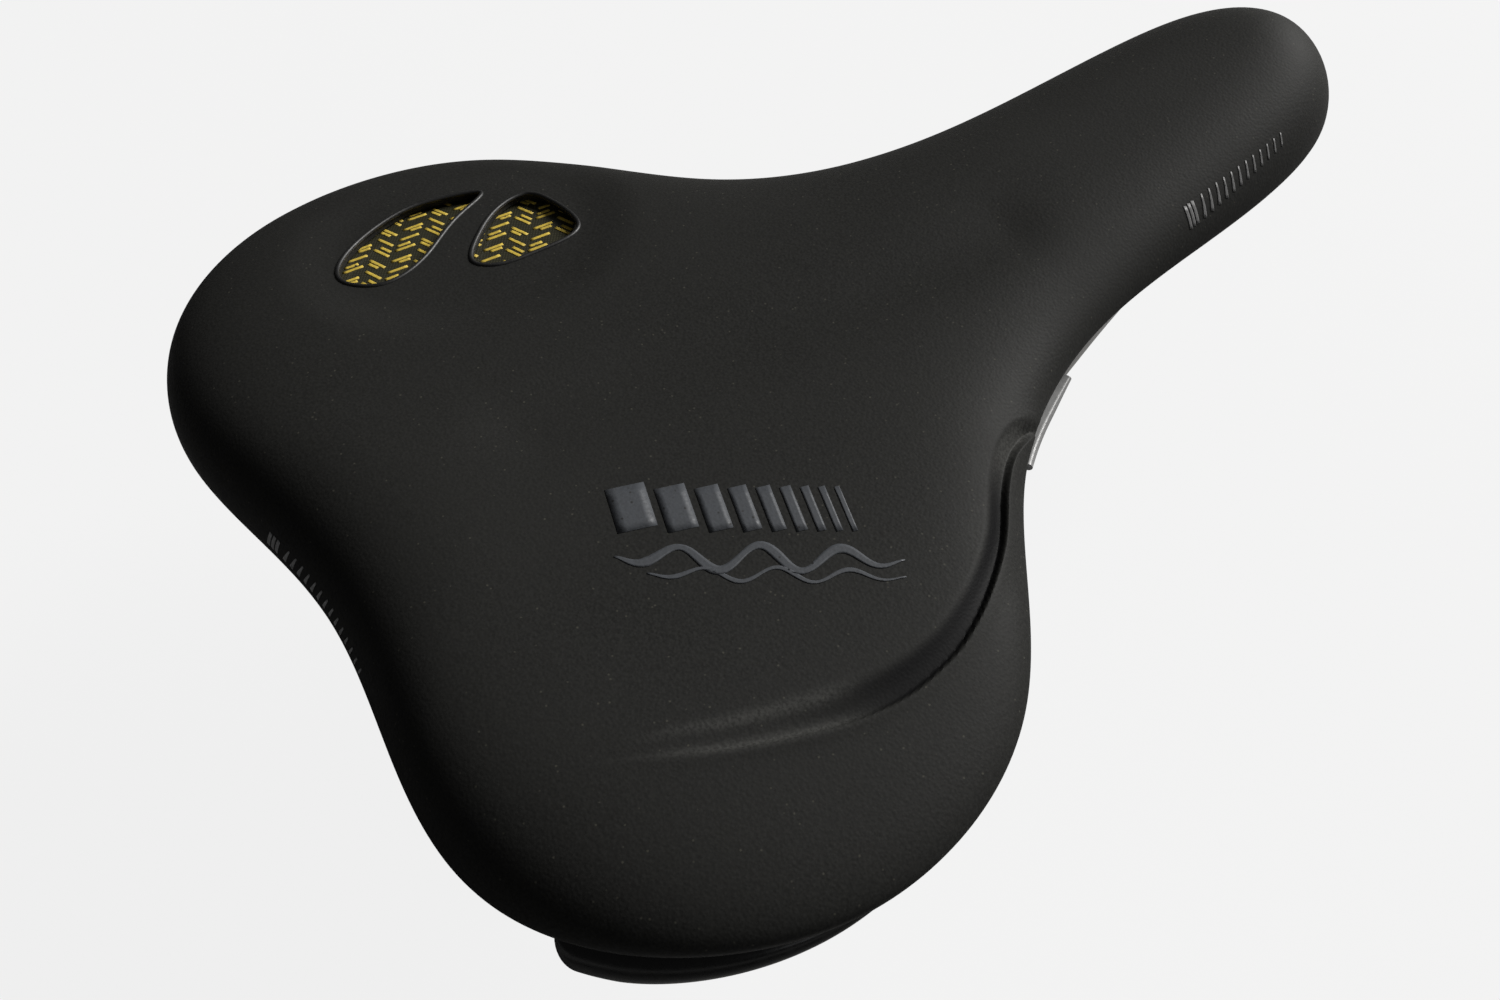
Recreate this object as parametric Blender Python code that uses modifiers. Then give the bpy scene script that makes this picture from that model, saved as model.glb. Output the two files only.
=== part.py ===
"""Wide gel saddle: padded top hinged at the nose, rubber springs at the rear, steel rails and a post clamp.

+Y points to the nose, +X to the rider's right and +Z up. The origin is the centre of the clamp's
socket, where the top of the seatpost goes.
"""

import math

import bmesh
import bpy
import numpy as np
from mathutils import Matrix, Vector
from mathutils.bvhtree import BVHTree

MM = 0.001
GAP = 0.3 * MM  # between two pieces that touch
MERGE = 0.01 * MM  # points this close are one
X, Y, Z = (1, 0, 0), (0, 1, 0), (0, 0, 1)
SIDES = (("left", -1), ("right", 1))

# Padded top, in plan
LENGTH = 266.4 * MM
WIDTH = 210.6 * MM
NOSE_TIP_Y = 143.5 * MM
NOSE_WIDTH = 49.0 * MM
NOSE_ROUND = 20.0 * MM  # length of the nose's round end
NECK_WIDTH = 59.8 * MM
NECK_BACK = 58.0 * MM  # behind the nose tip
WAIST_WIDTH = 70.6 * MM
WAIST_BACK = 100.0 * MM  # behind the nose tip
WING_AHEAD = 49.5 * MM  # widest place, ahead of the rear edge
NOTCH = 5.8 * MM  # depth of the dip between the two rear lobes
# Outline points between those places, as shares of the sizes on either side of them
NOSE_CORNER = (0.573, 0.225)
FLARES = ((0.3, 0.675), (0.831, 0.384))
WIDEST = 0.994
REAR_CORNER = (0.82, 0.287)
LOBES = ((0.58, 0.172), (0.334, 0.241))

# Padded top, in side view: heights of the middle line above the socket's centre
REAR_TOP = 85.3 * MM
MIDDLE_TOP = 65.9 * MM
NOSE_TOP = 69.5 * MM
# How far the rim lies under the middle line at the nose, waist, wing tip, rear corner and rear centre
RIM_DROPS = (17.8 * MM, 10.7 * MM, 12.5 * MM, 21.4 * MM, 20.0 * MM)
SKIRTS = (5.8 * MM, 6.2 * MM, 6.6 * MM, 6.8 * MM, 7.0 * MM)  # height of the turned-in edge there
TUCK = 4.2 * MM  # how far that edge turns in
CROWN_FLATNESS = 2.8
CROWN_ROUNDNESS = 1.93
SPINE_FROM_REAR = 45.0 * MM
SPINE_FROM_NOSE = 22.0 * MM
SPAN_STEPS = 2  # facets between two outline points

# Layers of the top, from outside in
COVER_WALL = 2.0 * MM
FOAM_REAR = 19.0 * MM
FOAM_MIDDLE = 12.5 * MM
FOAM_NOSE = 13.5 * MM
SHELL_WALL = 3.0 * MM
GEL_INSIDE = 47.3 * MM  # centre of a pad, in from the wing's widest place
GEL_AHEAD = 55.9 * MM  # centre of a pad, ahead of the rear edge
GEL_RADII = (27.0 * MM, 29.0 * MM)
GEL_THICK = 6.0 * MM
BADGE_INSIDE = 38.3 * MM
BADGE_AHEAD = 70.9 * MM
BADGE_RADII = (19.5 * MM, 31.0 * MM)
BADGE_TURN = math.radians(-11)
BADGE_THICK = 1.2 * MM

# Rear bumpers and the clips at the waist. Spans count the outline's points from the nose tip.
BUMPER_SPAN = (6.62, 8.45)
BUMPER_DEPTH = 10.0 * MM
BUMPER_PROUD = 5.4 * MM  # past the cover's edge
BUMPER_RUN_OUT = 0.78  # share of its length over which the front end tapers
BUMPER_BLUNT = 0.1  # and the rear end
BUMPER_REACH = 8.3 * MM  # in under the rim
CLIP_SPAN = (4.16, 4.74)
CLIP_PROUD = 4.8 * MM
CLIP_REACH = 4.8 * MM
CLIP_THICK = 2.2 * MM
RIM_GAP = 0.8 * MM  # between the rim and what is fixed under it
SHELL_PLAY = 0.4 * MM  # between the shell's edge and the turned-in cover

# Wire rails
WIRE = 7.0 * MM
RAIL_SPREAD = 44.0 * MM
RAIL_Z = 11.0 * MM
RAIL_FRONT = 13.0 * MM  # front end of the straight stretch
RAIL_REAR = 23.0 * MM  # rear end of the straight stretch, ahead of the springs
RAIL_END_X = 28.0 * MM
RAIL_END_Z = 17.6 * MM
RAIL_TAIL = 13.0 * MM  # behind the springs
PIVOT_BACK = 42.5 * MM  # behind the nose tip
PIVOT_Z = 32.0 * MM
PIVOT_HALF = 14.0 * MM
WIRE_BEND = 7.0 * MM
RAIL_PULL = 85.0 * MM  # how straight the wire leaves the hinge
TAIL_PULL = 18.0 * MM  # how straight it rises to its rear end

# Rear springs and their bridge
SPRING_X = 45.0 * MM
SPRING_AHEAD = 37.9 * MM  # ahead of the rear edge
SPRING_RADIUS = 15.0 * MM
SPRING_HEIGHT = 22.0 * MM
BRIDGE_SIZE = (124.0 * MM, 28.0 * MM, 4.0 * MM)
BOSS_RADIUS = 17.0 * MM
BOSS_FLOOR = 2.6 * MM  # between a spring and the nut sunk in the boss
SPRING_WAIST = 12.8 * MM
SPRING_PLAY = 0.8 * MM
RAIL_CLIP_LENGTH = 18.0 * MM
RAIL_CLIP_WALL = 4.5 * MM
RAIL_CLIP_TAB = 13.0 * MM  # how far the flat tab reaches in past the wire's socket
RAIL_CLIP_TAB_THICK = 5.0 * MM
RAIL_CLIP_LEAD = 1.0 * MM  # the wire is level this far ahead of its clip
CLIP_SCREW = 5.0 * MM
SCREW_PROUD = 1.0 * MM  # past the bridge

# M6 spring bolts
BOLT = 6.0 * MM
NUT_FLATS = 10.0 * MM
NUT_HIGH = 5.0 * MM
WASHER = 14.0 * MM
WASHER_THICK = 1.6 * MM
BOLT_PLAY = 1.6 * MM  # the seat's swing carries the bolt sideways in the bridge

# Nose mount
TOWER_WIDTH = 12.5 * MM
TOWER_LENGTH = 30.0 * MM
CAP_THICK = 6.5 * MM
CAP_ROUND = 1.0 * MM
NOSE_SCREW = 4.0 * MM
NOSE_SCREW_REACH = 10.0 * MM  # from the pivot
NOSE_SCREW_DEEP = 10.0 * MM  # in the tower
SCREW_PLAY = 0.3 * MM

# Seatpost clamp
POST = 22.2 * MM
BAND_WALL = 3.0 * MM
BAND_HIGH = 28.0 * MM
CROSS_Y = -27.0 * MM  # axis of the cross bolt
EAR_GAP = 8.0 * MM
EAR_WALL = 3.0 * MM
EAR_RADIUS = 13.0 * MM
CROSS_BOLT = 8.0 * MM
HUB_RADIUS = 12.0 * MM
CHEEK_LENGTH = 34.0 * MM
CHEEK_HIGH = 31.0 * MM
CHEEK_RISE = 2.5 * MM  # middle of a cheek above the cross bolt
CHEEK_INNER = 7.0 * MM  # from a rail's middle to the inner cheek's inside
CHEEK_OUTER = 8.0 * MM  # from a rail's middle to the outer cheek's outside
CHEEK_SPLIT = 0.42 * MM  # between the two cheeks
CHEEK_ROUND = 2.2 * MM
HUB_ROOT = 1.0 * MM  # how far a hub reaches into its cheek
CROSS_NUT_FLATS = 13.0 * MM
CROSS_NUT_HIGH = 6.5 * MM
CROSS_WASHER = 18.0 * MM
STUD_PROUD = 1.5 * MM  # past each nut
ARM_INSET = 0.05 * MM  # the arms' faces, inside the ears' faces

REAR_Y = NOSE_TIP_Y - LENGTH
GEL_CENTRE = (WIDTH / 2 - GEL_INSIDE, REAR_Y + GEL_AHEAD)
BADGE_CENTRE = (BADGE_INSIDE - WIDTH / 2, REAR_Y + BADGE_AHEAD)
SPRING_Y = REAR_Y + SPRING_AHEAD
RAIL_END_Y = SPRING_Y - RAIL_TAIL
PIVOT_Y = NOSE_TIP_Y - PIVOT_BACK
INNER_FACE = RAIL_SPREAD / 2 - CHEEK_INNER
OUTER_FACE = RAIL_SPREAD / 2 + CHEEK_OUTER
WIRE_FIT = WIRE / 2 + GAP
BRIDGE_BASE = RAIL_END_Z + WIRE / 2 + GAP
SPRING_BASE = BRIDGE_BASE + BRIDGE_SIZE[2] + GAP
BOSS_BASE = SPRING_BASE + SPRING_HEIGHT + GAP

COLOURS = {
    "cover_fabric": ((0.024, 0.024, 0.022), 0.62, 0.0),
    "foam": ((0.36, 0.34, 0.27), 0.9, 0.0),
    "gel": ((0.55, 0.42, 0.10), 0.3, 0.0),
    "badge_print": ((0.06, 0.055, 0.03), 0.35, 0.0),
    "black_plastic": ((0.012, 0.012, 0.012), 0.38, 0.0),
    "grey_plastic": ((0.20, 0.21, 0.22), 0.32, 0.0),
    "rail_steel": ((0.60, 0.61, 0.62), 0.24, 1.0),
    "clamp_steel": ((0.42, 0.43, 0.44), 0.34, 1.0),
    "zinc_steel": ((0.68, 0.68, 0.66), 0.28, 1.0),
    "rubber": ((0.02, 0.02, 0.02), 0.7, 0.0),
}


def clear_scene():
    for obj in list(bpy.data.objects):
        bpy.data.objects.remove(obj, do_unlink=True)


def new_collection(name, helpers=False):
    collection = bpy.data.collections.new(name)
    collection.hide_render = helpers
    bpy.context.scene.collection.children.link(collection)
    return collection


clear_scene()
PARTS = new_collection("bicycle_saddle")
CUTTERS = new_collection("cutters", helpers=True)


def finish_material(name):
    if name in bpy.data.materials:
        return bpy.data.materials[name]
    colour, roughness, metallic = COLOURS[name]
    material = bpy.data.materials.new(name)
    material.use_nodes = True
    shader = material.node_tree.nodes["Principled BSDF"]
    shader.inputs["Base Color"].default_value = (*colour, 1)
    shader.inputs["Roughness"].default_value = roughness
    shader.inputs["Metallic"].default_value = metallic
    return material


def add_object(name, mesh, finish):
    """A part with its finish, or with no finish a helper that only cuts or joins."""
    obj = bpy.data.objects.new(name, mesh)
    if finish:
        mesh.materials.append(finish_material(finish))
        PARTS.objects.link(obj)
    else:
        obj.hide_render = True
        obj.display_type = "WIRE"
        CUTTERS.objects.link(obj)
    return obj


def from_bmesh(name, bm, finish):
    mesh = bpy.data.meshes.new(name)
    bm.to_mesh(mesh)
    bm.free()
    mesh.shade_smooth()
    mesh.set_sharp_from_angle(angle=math.radians(40))
    return add_object(name, mesh, finish)


def axis_turn(axis):
    return Vector(Z).rotation_difference(Vector(axis)).to_matrix().to_4x4()


def cylinder(name, radius, length, centre, axis=Z, finish=None, sides=24):
    bm = bmesh.new()
    place = Matrix.Translation(centre) @ axis_turn(axis)
    bmesh.ops.create_cone(
        bm, cap_ends=True, segments=sides, radius1=radius, radius2=radius, depth=length, matrix=place
    )
    return from_bmesh(name, bm, finish)


def box(name, size, centre, finish=None, rounding=0.0):
    bm = bmesh.new()
    place = Matrix.Translation(centre) @ Matrix.Diagonal((*size, 1))
    bmesh.ops.create_cube(bm, size=1, matrix=place)
    obj = from_bmesh(name, bm, finish)
    if rounding:
        bevel = obj.modifiers.new("rounding", "BEVEL")
        bevel.width = rounding
        bevel.segments = 1
    return obj


def combine(obj, helper, operation="DIFFERENCE"):
    boolean = obj.modifiers.new(helper.name, "BOOLEAN")
    boolean.operation = operation
    boolean.object = helper
    boolean.solver = "EXACT"


def turned(name, profile, centre, axis, finish, closed=False, steps=20):
    """A profile of (radius, height) points, running down its outer side, spun round the axis."""
    mesh = bpy.data.meshes.new(name)
    count = len(profile)
    edges = [(i, (i + 1) % count) for i in range(count if closed else count - 1)]
    mesh.from_pydata([(radius, 0, height) for radius, height in profile], edges, [])
    obj = add_object(name, mesh, finish)
    obj.location = centre
    obj.rotation_euler = axis_turn(axis).to_euler()
    screw = obj.modifiers.new("turned", "SCREW")
    screw.steps = steps
    screw.render_steps = steps
    screw.use_merge_vertices = not closed
    screw.merge_threshold = 0.00001
    screw.use_smooth_shade = True
    return obj


def washer(name, shank, width, centre, axis):
    """A plain washer for a shank of this diameter, standing on centre."""
    inner = shank / 2 + GAP
    outer = width / 2
    profile = [(inner, WASHER_THICK), (outer, WASHER_THICK), (outer, 0), (inner, 0)]
    turned(name, profile, centre, axis, "zinc_steel", closed=True, steps=16)


def loft(name, rows, finish, cap_first=True, cap_last=True):
    """Quads between closed rows of points, with a cap on either end."""
    bm = bmesh.new()
    count = len(rows[0])
    verts = [[bm.verts.new(point) for point in row] for row in rows]
    for row, following in zip(verts, verts[1:]):
        for i in range(count):
            j = (i + 1) % count
            bm.faces.new((row[i], row[j], following[j], following[i]))
    if cap_first:
        bm.faces.new(verts[0][::-1])
    if cap_last:
        bm.faces.new(verts[-1])
    bmesh.ops.remove_doubles(bm, verts=bm.verts, dist=MERGE)
    bmesh.ops.recalc_face_normals(bm, faces=bm.faces)
    return from_bmesh(name, bm, finish)


class ClosedSpline:
    """Smooth closed curve through its points: a periodic cubic over the root of chord length."""

    def __init__(self, points):
        self.points = np.array(points, float)
        ahead = np.roll(self.points, -1, axis=0)
        self.steps = np.sqrt(np.linalg.norm(ahead - self.points, axis=1))
        count = len(self.points)
        slopes = (ahead - self.points) / self.steps[:, None]
        system = np.zeros((count, count))
        for i in range(count):
            before = self.steps[i - 1]
            after = self.steps[i]
            system[i, i - 1] += before
            system[i, i] += 2 * (before + after)
            system[i, (i + 1) % count] += after
        self.bends = np.linalg.solve(system, 6 * (slopes - np.roll(slopes, 1, axis=0)))

    def at(self, index):
        """The point at a fractional index: 2.5 lies halfway between points 2 and 3."""
        index = np.asarray(index, float)
        first = np.floor(index).astype(int) % len(self.points)
        second = (first + 1) % len(self.points)
        t = (index - np.floor(index))[..., None]
        step = self.steps[first][..., None] ** 2
        straight = (1 - t) * self.points[first] + t * self.points[second]
        bend = (t**3 - t) * self.bends[second] + ((1 - t) ** 3 - (1 - t)) * self.bends[first]
        return straight + bend * step / 6


def through_values(values, key):
    """Smooth curve through values at 0, 1, 2 and on, level at both ends, that never overshoots."""
    values = np.array(values)
    rises = np.diff(values)
    product = rises[:-1] * rises[1:]
    slopes = np.zeros(len(values))
    slopes[1:-1] = np.where(product > 0, 2 * product / (rises[:-1] + rises[1:] + 1e-12), 0)
    i = np.clip(np.floor(key).astype(int), 0, len(values) - 2)
    t = key - i
    start = (1 + 2 * t) * (1 - t) ** 2 * values[i] + t * (1 - t) ** 2 * slopes[i]
    end = t**2 * (3 - 2 * t) * values[i + 1] + t**2 * (t - 1) * slopes[i + 1]
    return start + end


def half_outline():
    """Plan of the right half, from the nose tip to the rear notch."""
    nose = NOSE_WIDTH / 2
    waist = WAIST_WIDTH / 2
    wing = WIDTH / 2
    wing_y = REAR_Y + WING_AHEAD
    waist_y = NOSE_TIP_Y - WAIST_BACK
    flares = [(waist + out * (wing - waist), wing_y + up * (waist_y - wing_y)) for out, up in FLARES]
    return [
        (0, NOSE_TIP_Y),
        (NOSE_CORNER[0] * nose, NOSE_TIP_Y - NOSE_CORNER[1] * NOSE_ROUND),
        (nose, NOSE_TIP_Y - NOSE_ROUND),
        (NECK_WIDTH / 2, NOSE_TIP_Y - NECK_BACK),
        (waist, waist_y),
        *flares,
        (WIDEST * wing, wing_y),
        (REAR_CORNER[0] * wing, REAR_Y + REAR_CORNER[1] * WING_AHEAD),
        *[(out * wing, REAR_Y + up * NOTCH) for out, up in LOBES],
        (0, REAR_Y + NOTCH),
    ]


HALF = half_outline()
OUTLINE = ClosedSpline(HALF + [(-x, y) for x, y in HALF[-2:0:-1]])
HALF_SPANS = len(HALF) - 1


def ring_indices():
    return np.arange(2 * HALF_SPANS * SPAN_STEPS) / SPAN_STEPS


def parabola(rear, middle, nose, y):
    """A value that runs smoothly through those at the rear edge, halfway and at the nose tip."""
    a = np.clip((y - REAR_Y) / LENGTH, 0, 1)
    return rear * (1 - a) * (1 - 2 * a) + middle * 4 * a * (1 - a) + nose * a * (2 * a - 1)


def middle_line(y):
    """Height of the top's middle line."""
    return parabola(REAR_TOP, MIDDLE_TOP, NOSE_TOP, y)


def place_key(points):
    """0 at the nose tip, 1 at the waist, 2 at the wing tip, 3 at the rear corner, 4 at the notch."""
    wing_y = REAR_Y + WING_AHEAD
    ahead = 2 * (NOSE_TIP_Y - points[:, 1]) / (NOSE_TIP_Y - wing_y)
    behind = 4 - 2 * np.clip(np.abs(points[:, 0]) / (WIDEST * WIDTH / 2), 0, 1)
    return np.clip(np.where(points[:, 1] > wing_y, ahead, behind), 0, 4)


class Rim:
    """Outline points with what every layer of the top is measured from."""

    def __init__(self, index):
        index = np.asarray(index, float)
        self.outer = OUTLINE.at(index)
        folded = np.where(index > HALF_SPANS, 2 * HALF_SPANS - index, index)
        trail = np.linspace(0, HALF_SPANS, 20 * HALF_SPANS + 1)
        rearmost = np.minimum.accumulate(OUTLINE.at(trail)[:, 1])
        share = (np.interp(folded, trail, rearmost) - REAR_Y) / LENGTH
        start = REAR_Y + SPINE_FROM_REAR
        reach = NOSE_TIP_Y - SPINE_FROM_NOSE - start
        self.spine = np.stack([0 * share, start + reach * share], axis=1)
        along = OUTLINE.at(index + 0.02) - OUTLINE.at(index - 0.02)
        away = np.stack([-along[:, 1], along[:, 0]], axis=1)
        self.out = away / np.linalg.norm(away, axis=1)[:, None]
        key = place_key(self.outer)
        self.edge = middle_line(self.outer[:, 1]) - through_values(RIM_DROPS, key)
        self.skirt = through_values(SKIRTS, key)

    def crown(self, share, inset, edge, depth):
        """One row of a crowned layer, share of the way from the spine to its inset edge."""
        rim = self.outer - self.out * inset
        plan = self.spine + (rim - self.spine) * share
        top = middle_line(plan[:, 1]) - depth(plan[:, 1])
        rise = (1 - share**CROWN_FLATNESS) ** (1 / CROWN_ROUNDNESS)
        return np.column_stack([plan, edge + (top - edge) * rise])

    def skirt_row(self, share):
        plan = self.outer - self.out * TUCK * share**2
        return np.column_stack([plan, self.edge - self.skirt * share])


CROWN_SHARES = (0, 0.35, 0.65, 0.83, 0.93, 0.98, 1)  # rows of every crowned layer, spine to rim
RIM = Rim(ring_indices())


def no_depth(y):
    return 0 * y


def padding_depth(y):
    """Depth of the base shell's top under the middle line."""
    return parabola(FOAM_REAR, FOAM_MIDDLE, FOAM_NOSE, y)


def top_rows():
    return [RIM.crown(share, 0, RIM.edge, no_depth) for share in CROWN_SHARES]


def inward(rows, depth):
    """The same rows, moved in along the surface's normals."""
    grid = np.array(rows)
    around = np.roll(grid, -1, axis=1) - np.roll(grid, 1, axis=1)
    across = np.gradient(grid, axis=0)
    normals = np.cross(around, across)
    normals[0] = Z
    normals /= np.linalg.norm(normals, axis=2)[..., None]
    return list(grid - normals * depth)


def surface_tree():
    rows = top_rows()
    points = [Vector(point) for row in rows for point in row]
    count = len(rows[0])
    faces = [
        (r * count + i, r * count + (i + 1) % count, (r + 1) * count + (i + 1) % count, (r + 1) * count + i)
        for r in range(len(rows) - 1)
        for i in range(count)
    ]
    return BVHTree.FromPolygons(points, faces)


SURFACE = surface_tree()


def height(x, y):
    """Height of the padded top's outside at a place in plan."""
    return SURFACE.ray_cast(Vector((x, y, 1)), Vector((0, 0, -1)))[0].z


def oval(centre, radii, turn, share, grow=0.0, count=24):
    angles = np.linspace(0, 2 * math.pi, count, endpoint=False)
    a = (radii[0] + grow) * share * np.cos(angles)
    b = (radii[1] + grow) * share * np.sin(angles)
    x = centre[0] + a * math.cos(turn) - b * math.sin(turn)
    y = centre[1] + a * math.sin(turn) + b * math.cos(turn)
    return list(zip(x, y))


def under_surface(name, centre, radii, turn, top, bottom, finish, grow=0.0):
    """An oval plate that follows the top's outside, between two depths under it."""
    shares = (0.02, 0.4, 0.7, 1)
    rows = []
    for share in shares:
        rows.append([(x, y, height(x, y) - top) for x, y in oval(centre, radii, turn, share, grow)])
    for share in shares[::-1]:
        rows.append([(x, y, height(x, y) - bottom) for x, y in oval(centre, radii, turn, share, grow)])
    return loft(name, rows, finish)


def prism(name, outline, low, high, finish=None):
    bm = bmesh.new()
    face = bm.faces.new([bm.verts.new((x, y, low)) for x, y in outline])
    extruded = bmesh.ops.extrude_face_region(bm, geom=[face])["geom"]
    raised = [item for item in extruded if isinstance(item, bmesh.types.BMVert)]
    bmesh.ops.translate(bm, verts=raised, vec=(0, 0, high - low))
    bmesh.ops.recalc_face_normals(bm, faces=bm.faces)
    return from_bmesh(name, bm, finish)


# The two windows in the left wing, from hand-set points ahead of and beside the badge's centre
LEAF = (
    (-11, 14), (-15, 6), (-16, -3), (-12, -15), (-6, -23), (-1, -25),
    (3, -23), (6, -18), (5, -11), (1, -4), (-6, 6),
)
DROP = (
    (-4, 22), (2, 25), (9, 26), (14, 25), (16, 21), (16, 13),
    (15, 5), (12, 1), (9, 1), (3, 6), (-3, 14),
)


def window_outline(points):
    placed = [(BADGE_CENTRE[0] + x * MM, BADGE_CENTRE[1] + y * MM) for x, y in points]
    return ClosedSpline(placed).at(np.arange(2 * len(points)) / 2)


def make_cover():
    """Thin skin over the padding, with two windows in the left wing. It ends in a turned-in edge."""
    rows = top_rows() + [RIM.skirt_row(share) for share in (0.5, 1)]
    cover = loft("cover", rows, "cover_fabric", cap_first=False, cap_last=False)
    wall = cover.modifiers.new("wall", "SOLIDIFY")
    wall.thickness = COVER_WALL
    wall.offset = -1
    for name, points in (("leaf_window", LEAF), ("drop_window", DROP)):
        combine(cover, prism(name, window_outline(points), 0.5 * MIDDLE_TOP, 1.5 * REAR_TOP))


def badge_cutter(name):
    depth = COVER_WALL + GAP
    return under_surface(
        name, BADGE_CENTRE, BADGE_RADII, BADGE_TURN, -depth, depth + BADGE_THICK + 2 * GAP, None, GAP
    )


def make_foam():
    depth = COVER_WALL + 2 * GAP
    outer = inward(top_rows() + [RIM.skirt_row(0.5), RIM.skirt_row(1)], depth)[:-1]
    low = shell_edge() + 2 * GAP
    outer[-1][:, 2] = low
    inset = TUCK + COVER_WALL
    under = [
        RIM.crown(share, inset, low, lambda y: padding_depth(y) - 2 * GAP)
        for share in CROWN_SHARES[::-1]
    ]
    foam = loft("foam_pad", outer + under, "foam", cap_first=False, cap_last=False)
    for side, sign in SIDES:
        centre = (sign * GEL_CENTRE[0], GEL_CENTRE[1])
        pocket = under_surface(
            f"gel_pocket_{side}", centre, GEL_RADII, 0, -depth, depth + GEL_THICK + 2 * GAP, None, GAP
        )
        combine(foam, pocket)
    combine(foam, badge_cutter("badge_recess_in_foam"))


def make_gel():
    depth = COVER_WALL + 1.5 * GAP
    for side, sign in SIDES:
        centre = (sign * GEL_CENTRE[0], GEL_CENTRE[1])
        gel = under_surface(f"gel_pad_{side}", centre, GEL_RADII, 0, depth, depth + GEL_THICK, "gel")
        if side == "left":
            combine(gel, badge_cutter("badge_recess_in_gel"))
    under_surface(
        "window_badge", BADGE_CENTRE, BADGE_RADII, BADGE_TURN, depth, depth + BADGE_THICK, "badge_print"
    )


def shell_edge():
    """The shell's wall ends level with the cover's turned-in edge, just inside it."""
    return RIM.edge - RIM.skirt + SHELL_WALL + 2 * GAP


def shell_inset():
    return TUCK + COVER_WALL + SHELL_PLAY


def shell_rows(lift, shares=CROWN_SHARES):
    return [
        RIM.crown(share, shell_inset(), shell_edge() + lift, lambda y: padding_depth(y) - lift)
        for share in shares
    ]


def make_shell():
    """Moulded base with a round boss over each spring and a tower for the nose hinge."""
    shell = loft("base_shell", shell_rows(0), "black_plastic", cap_first=False, cap_last=False)
    wall = shell.modifiers.new("wall", "SOLIDIFY")
    wall.thickness = SHELL_WALL
    wall.offset = -1
    above = shell_rows(0.2 * GAP, CROWN_SHARES[:-2])
    lid = above[-1].copy()
    lid[:, 2] = 1.5 * REAR_TOP
    trim = loft("above_shell", above + [lid], None, cap_first=False)
    boss_top = BOSS_BASE + FOAM_REAR
    for side, sign in SIDES:
        middle = (sign * SPRING_X, SPRING_Y, (BOSS_BASE + boss_top) / 2)
        boss = cylinder(f"boss_{side}", BOSS_RADIUS, boss_top - BOSS_BASE, middle)
        combine(shell, boss, "UNION")
    tower_base = PIVOT_Z + 0.5 * GAP
    tower_top = middle_line(PIVOT_Y) - padding_depth(PIVOT_Y) + SHELL_WALL
    tower_size = (TOWER_WIDTH, TOWER_LENGTH, tower_top - tower_base)
    tower = box("tower", tower_size, (0, PIVOT_Y, (tower_base + tower_top) / 2))
    combine(shell, tower, "UNION")
    combine(shell, trim)
    combine(shell, pivot_cutter("pivot_groove_in_tower"))
    for side, sign in SIDES:
        place = (sign * SPRING_X, SPRING_Y)
        combine(shell, cylinder(f"boss_hole_{side}", BOLT / 2 + SCREW_PLAY, 4 * FOAM_REAR, (*place, BOSS_BASE)))
        pocket_high = 2 * FOAM_REAR
        middle = BOSS_BASE + BOSS_FLOOR + pocket_high / 2
        radius = NUT_FLATS / math.sqrt(3) + GAP
        combine(shell, cylinder(f"nut_pocket_{side}", radius, pocket_high, (*place, middle), sides=6))
    for name, y in nose_screw_places():
        hole = NOSE_SCREW_DEEP + 2 * GAP
        centre = (0, y, tower_base + hole / 2 - GAP)
        combine(shell, cylinder(f"{name}_hole", NOSE_SCREW / 2 + SCREW_PLAY, hole + 2 * GAP, centre))


def pivot_cutter(name):
    return cylinder(name, WIRE_FIT, 2 * TOWER_WIDTH, (0, PIVOT_Y, PIVOT_Z), X, sides=16)


def nose_screw_places():
    return (
        ("nose_screw_front", PIVOT_Y + NOSE_SCREW_REACH),
        ("nose_screw_rear", PIVOT_Y - NOSE_SCREW_REACH),
    )


def cap_screw(name, shank, length, centre, finish="zinc_steel"):
    """Socket-head screw, head down: centre is on the head's bearing face, where the shank starts."""
    radius = shank / 2
    head = 1.7 * radius
    high = shank * 0.9
    chamfer = 0.12 * shank
    profile = [
        (0, length),
        (radius - chamfer, length),
        (radius, length - chamfer),
        (radius, 0),
        (head, 0),
        (head, chamfer - high),
        (head - chamfer, -high),
        (0, -high),
    ]
    screw = turned(name, profile, centre, Z, finish, steps=12)
    socket_deep = 0.5 * high
    x, y, z = centre
    socket = cylinder(f"{name}_socket", 0.55 * shank, 2 * socket_deep, (x, y, z - high), sides=6)
    combine(screw, socket)


def hex_nut(name, flats, high, shank, centre, axis, finish="zinc_steel"):
    nut = cylinder(name, flats / math.sqrt(3), high, centre, axis, finish, sides=6)
    combine(nut, cylinder(f"{name}_thread", shank / 2 + GAP, 2 * high, centre, axis, sides=16))


def make_nose_mount():
    """Cap under the tower, with a screw on each side of the hinge wire."""
    top = PIVOT_Z - 0.5 * GAP
    size = (TOWER_WIDTH, TOWER_LENGTH, CAP_THICK)
    cap = box("nose_cap", size, (0, PIVOT_Y, top - CAP_THICK / 2), "black_plastic", CAP_ROUND)
    combine(cap, pivot_cutter("pivot_groove_in_cap"))
    for name, y in nose_screw_places():
        centre = (0, y, top - CAP_THICK / 2)
        combine(cap, cylinder(f"{name}_way", NOSE_SCREW / 2 + SCREW_PLAY, 2 * CAP_THICK, centre))
        start = top - CAP_THICK - GAP
        cap_screw(name, NOSE_SCREW, CAP_THICK + GAP + NOSE_SCREW_DEEP, (0, y, start))


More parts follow.
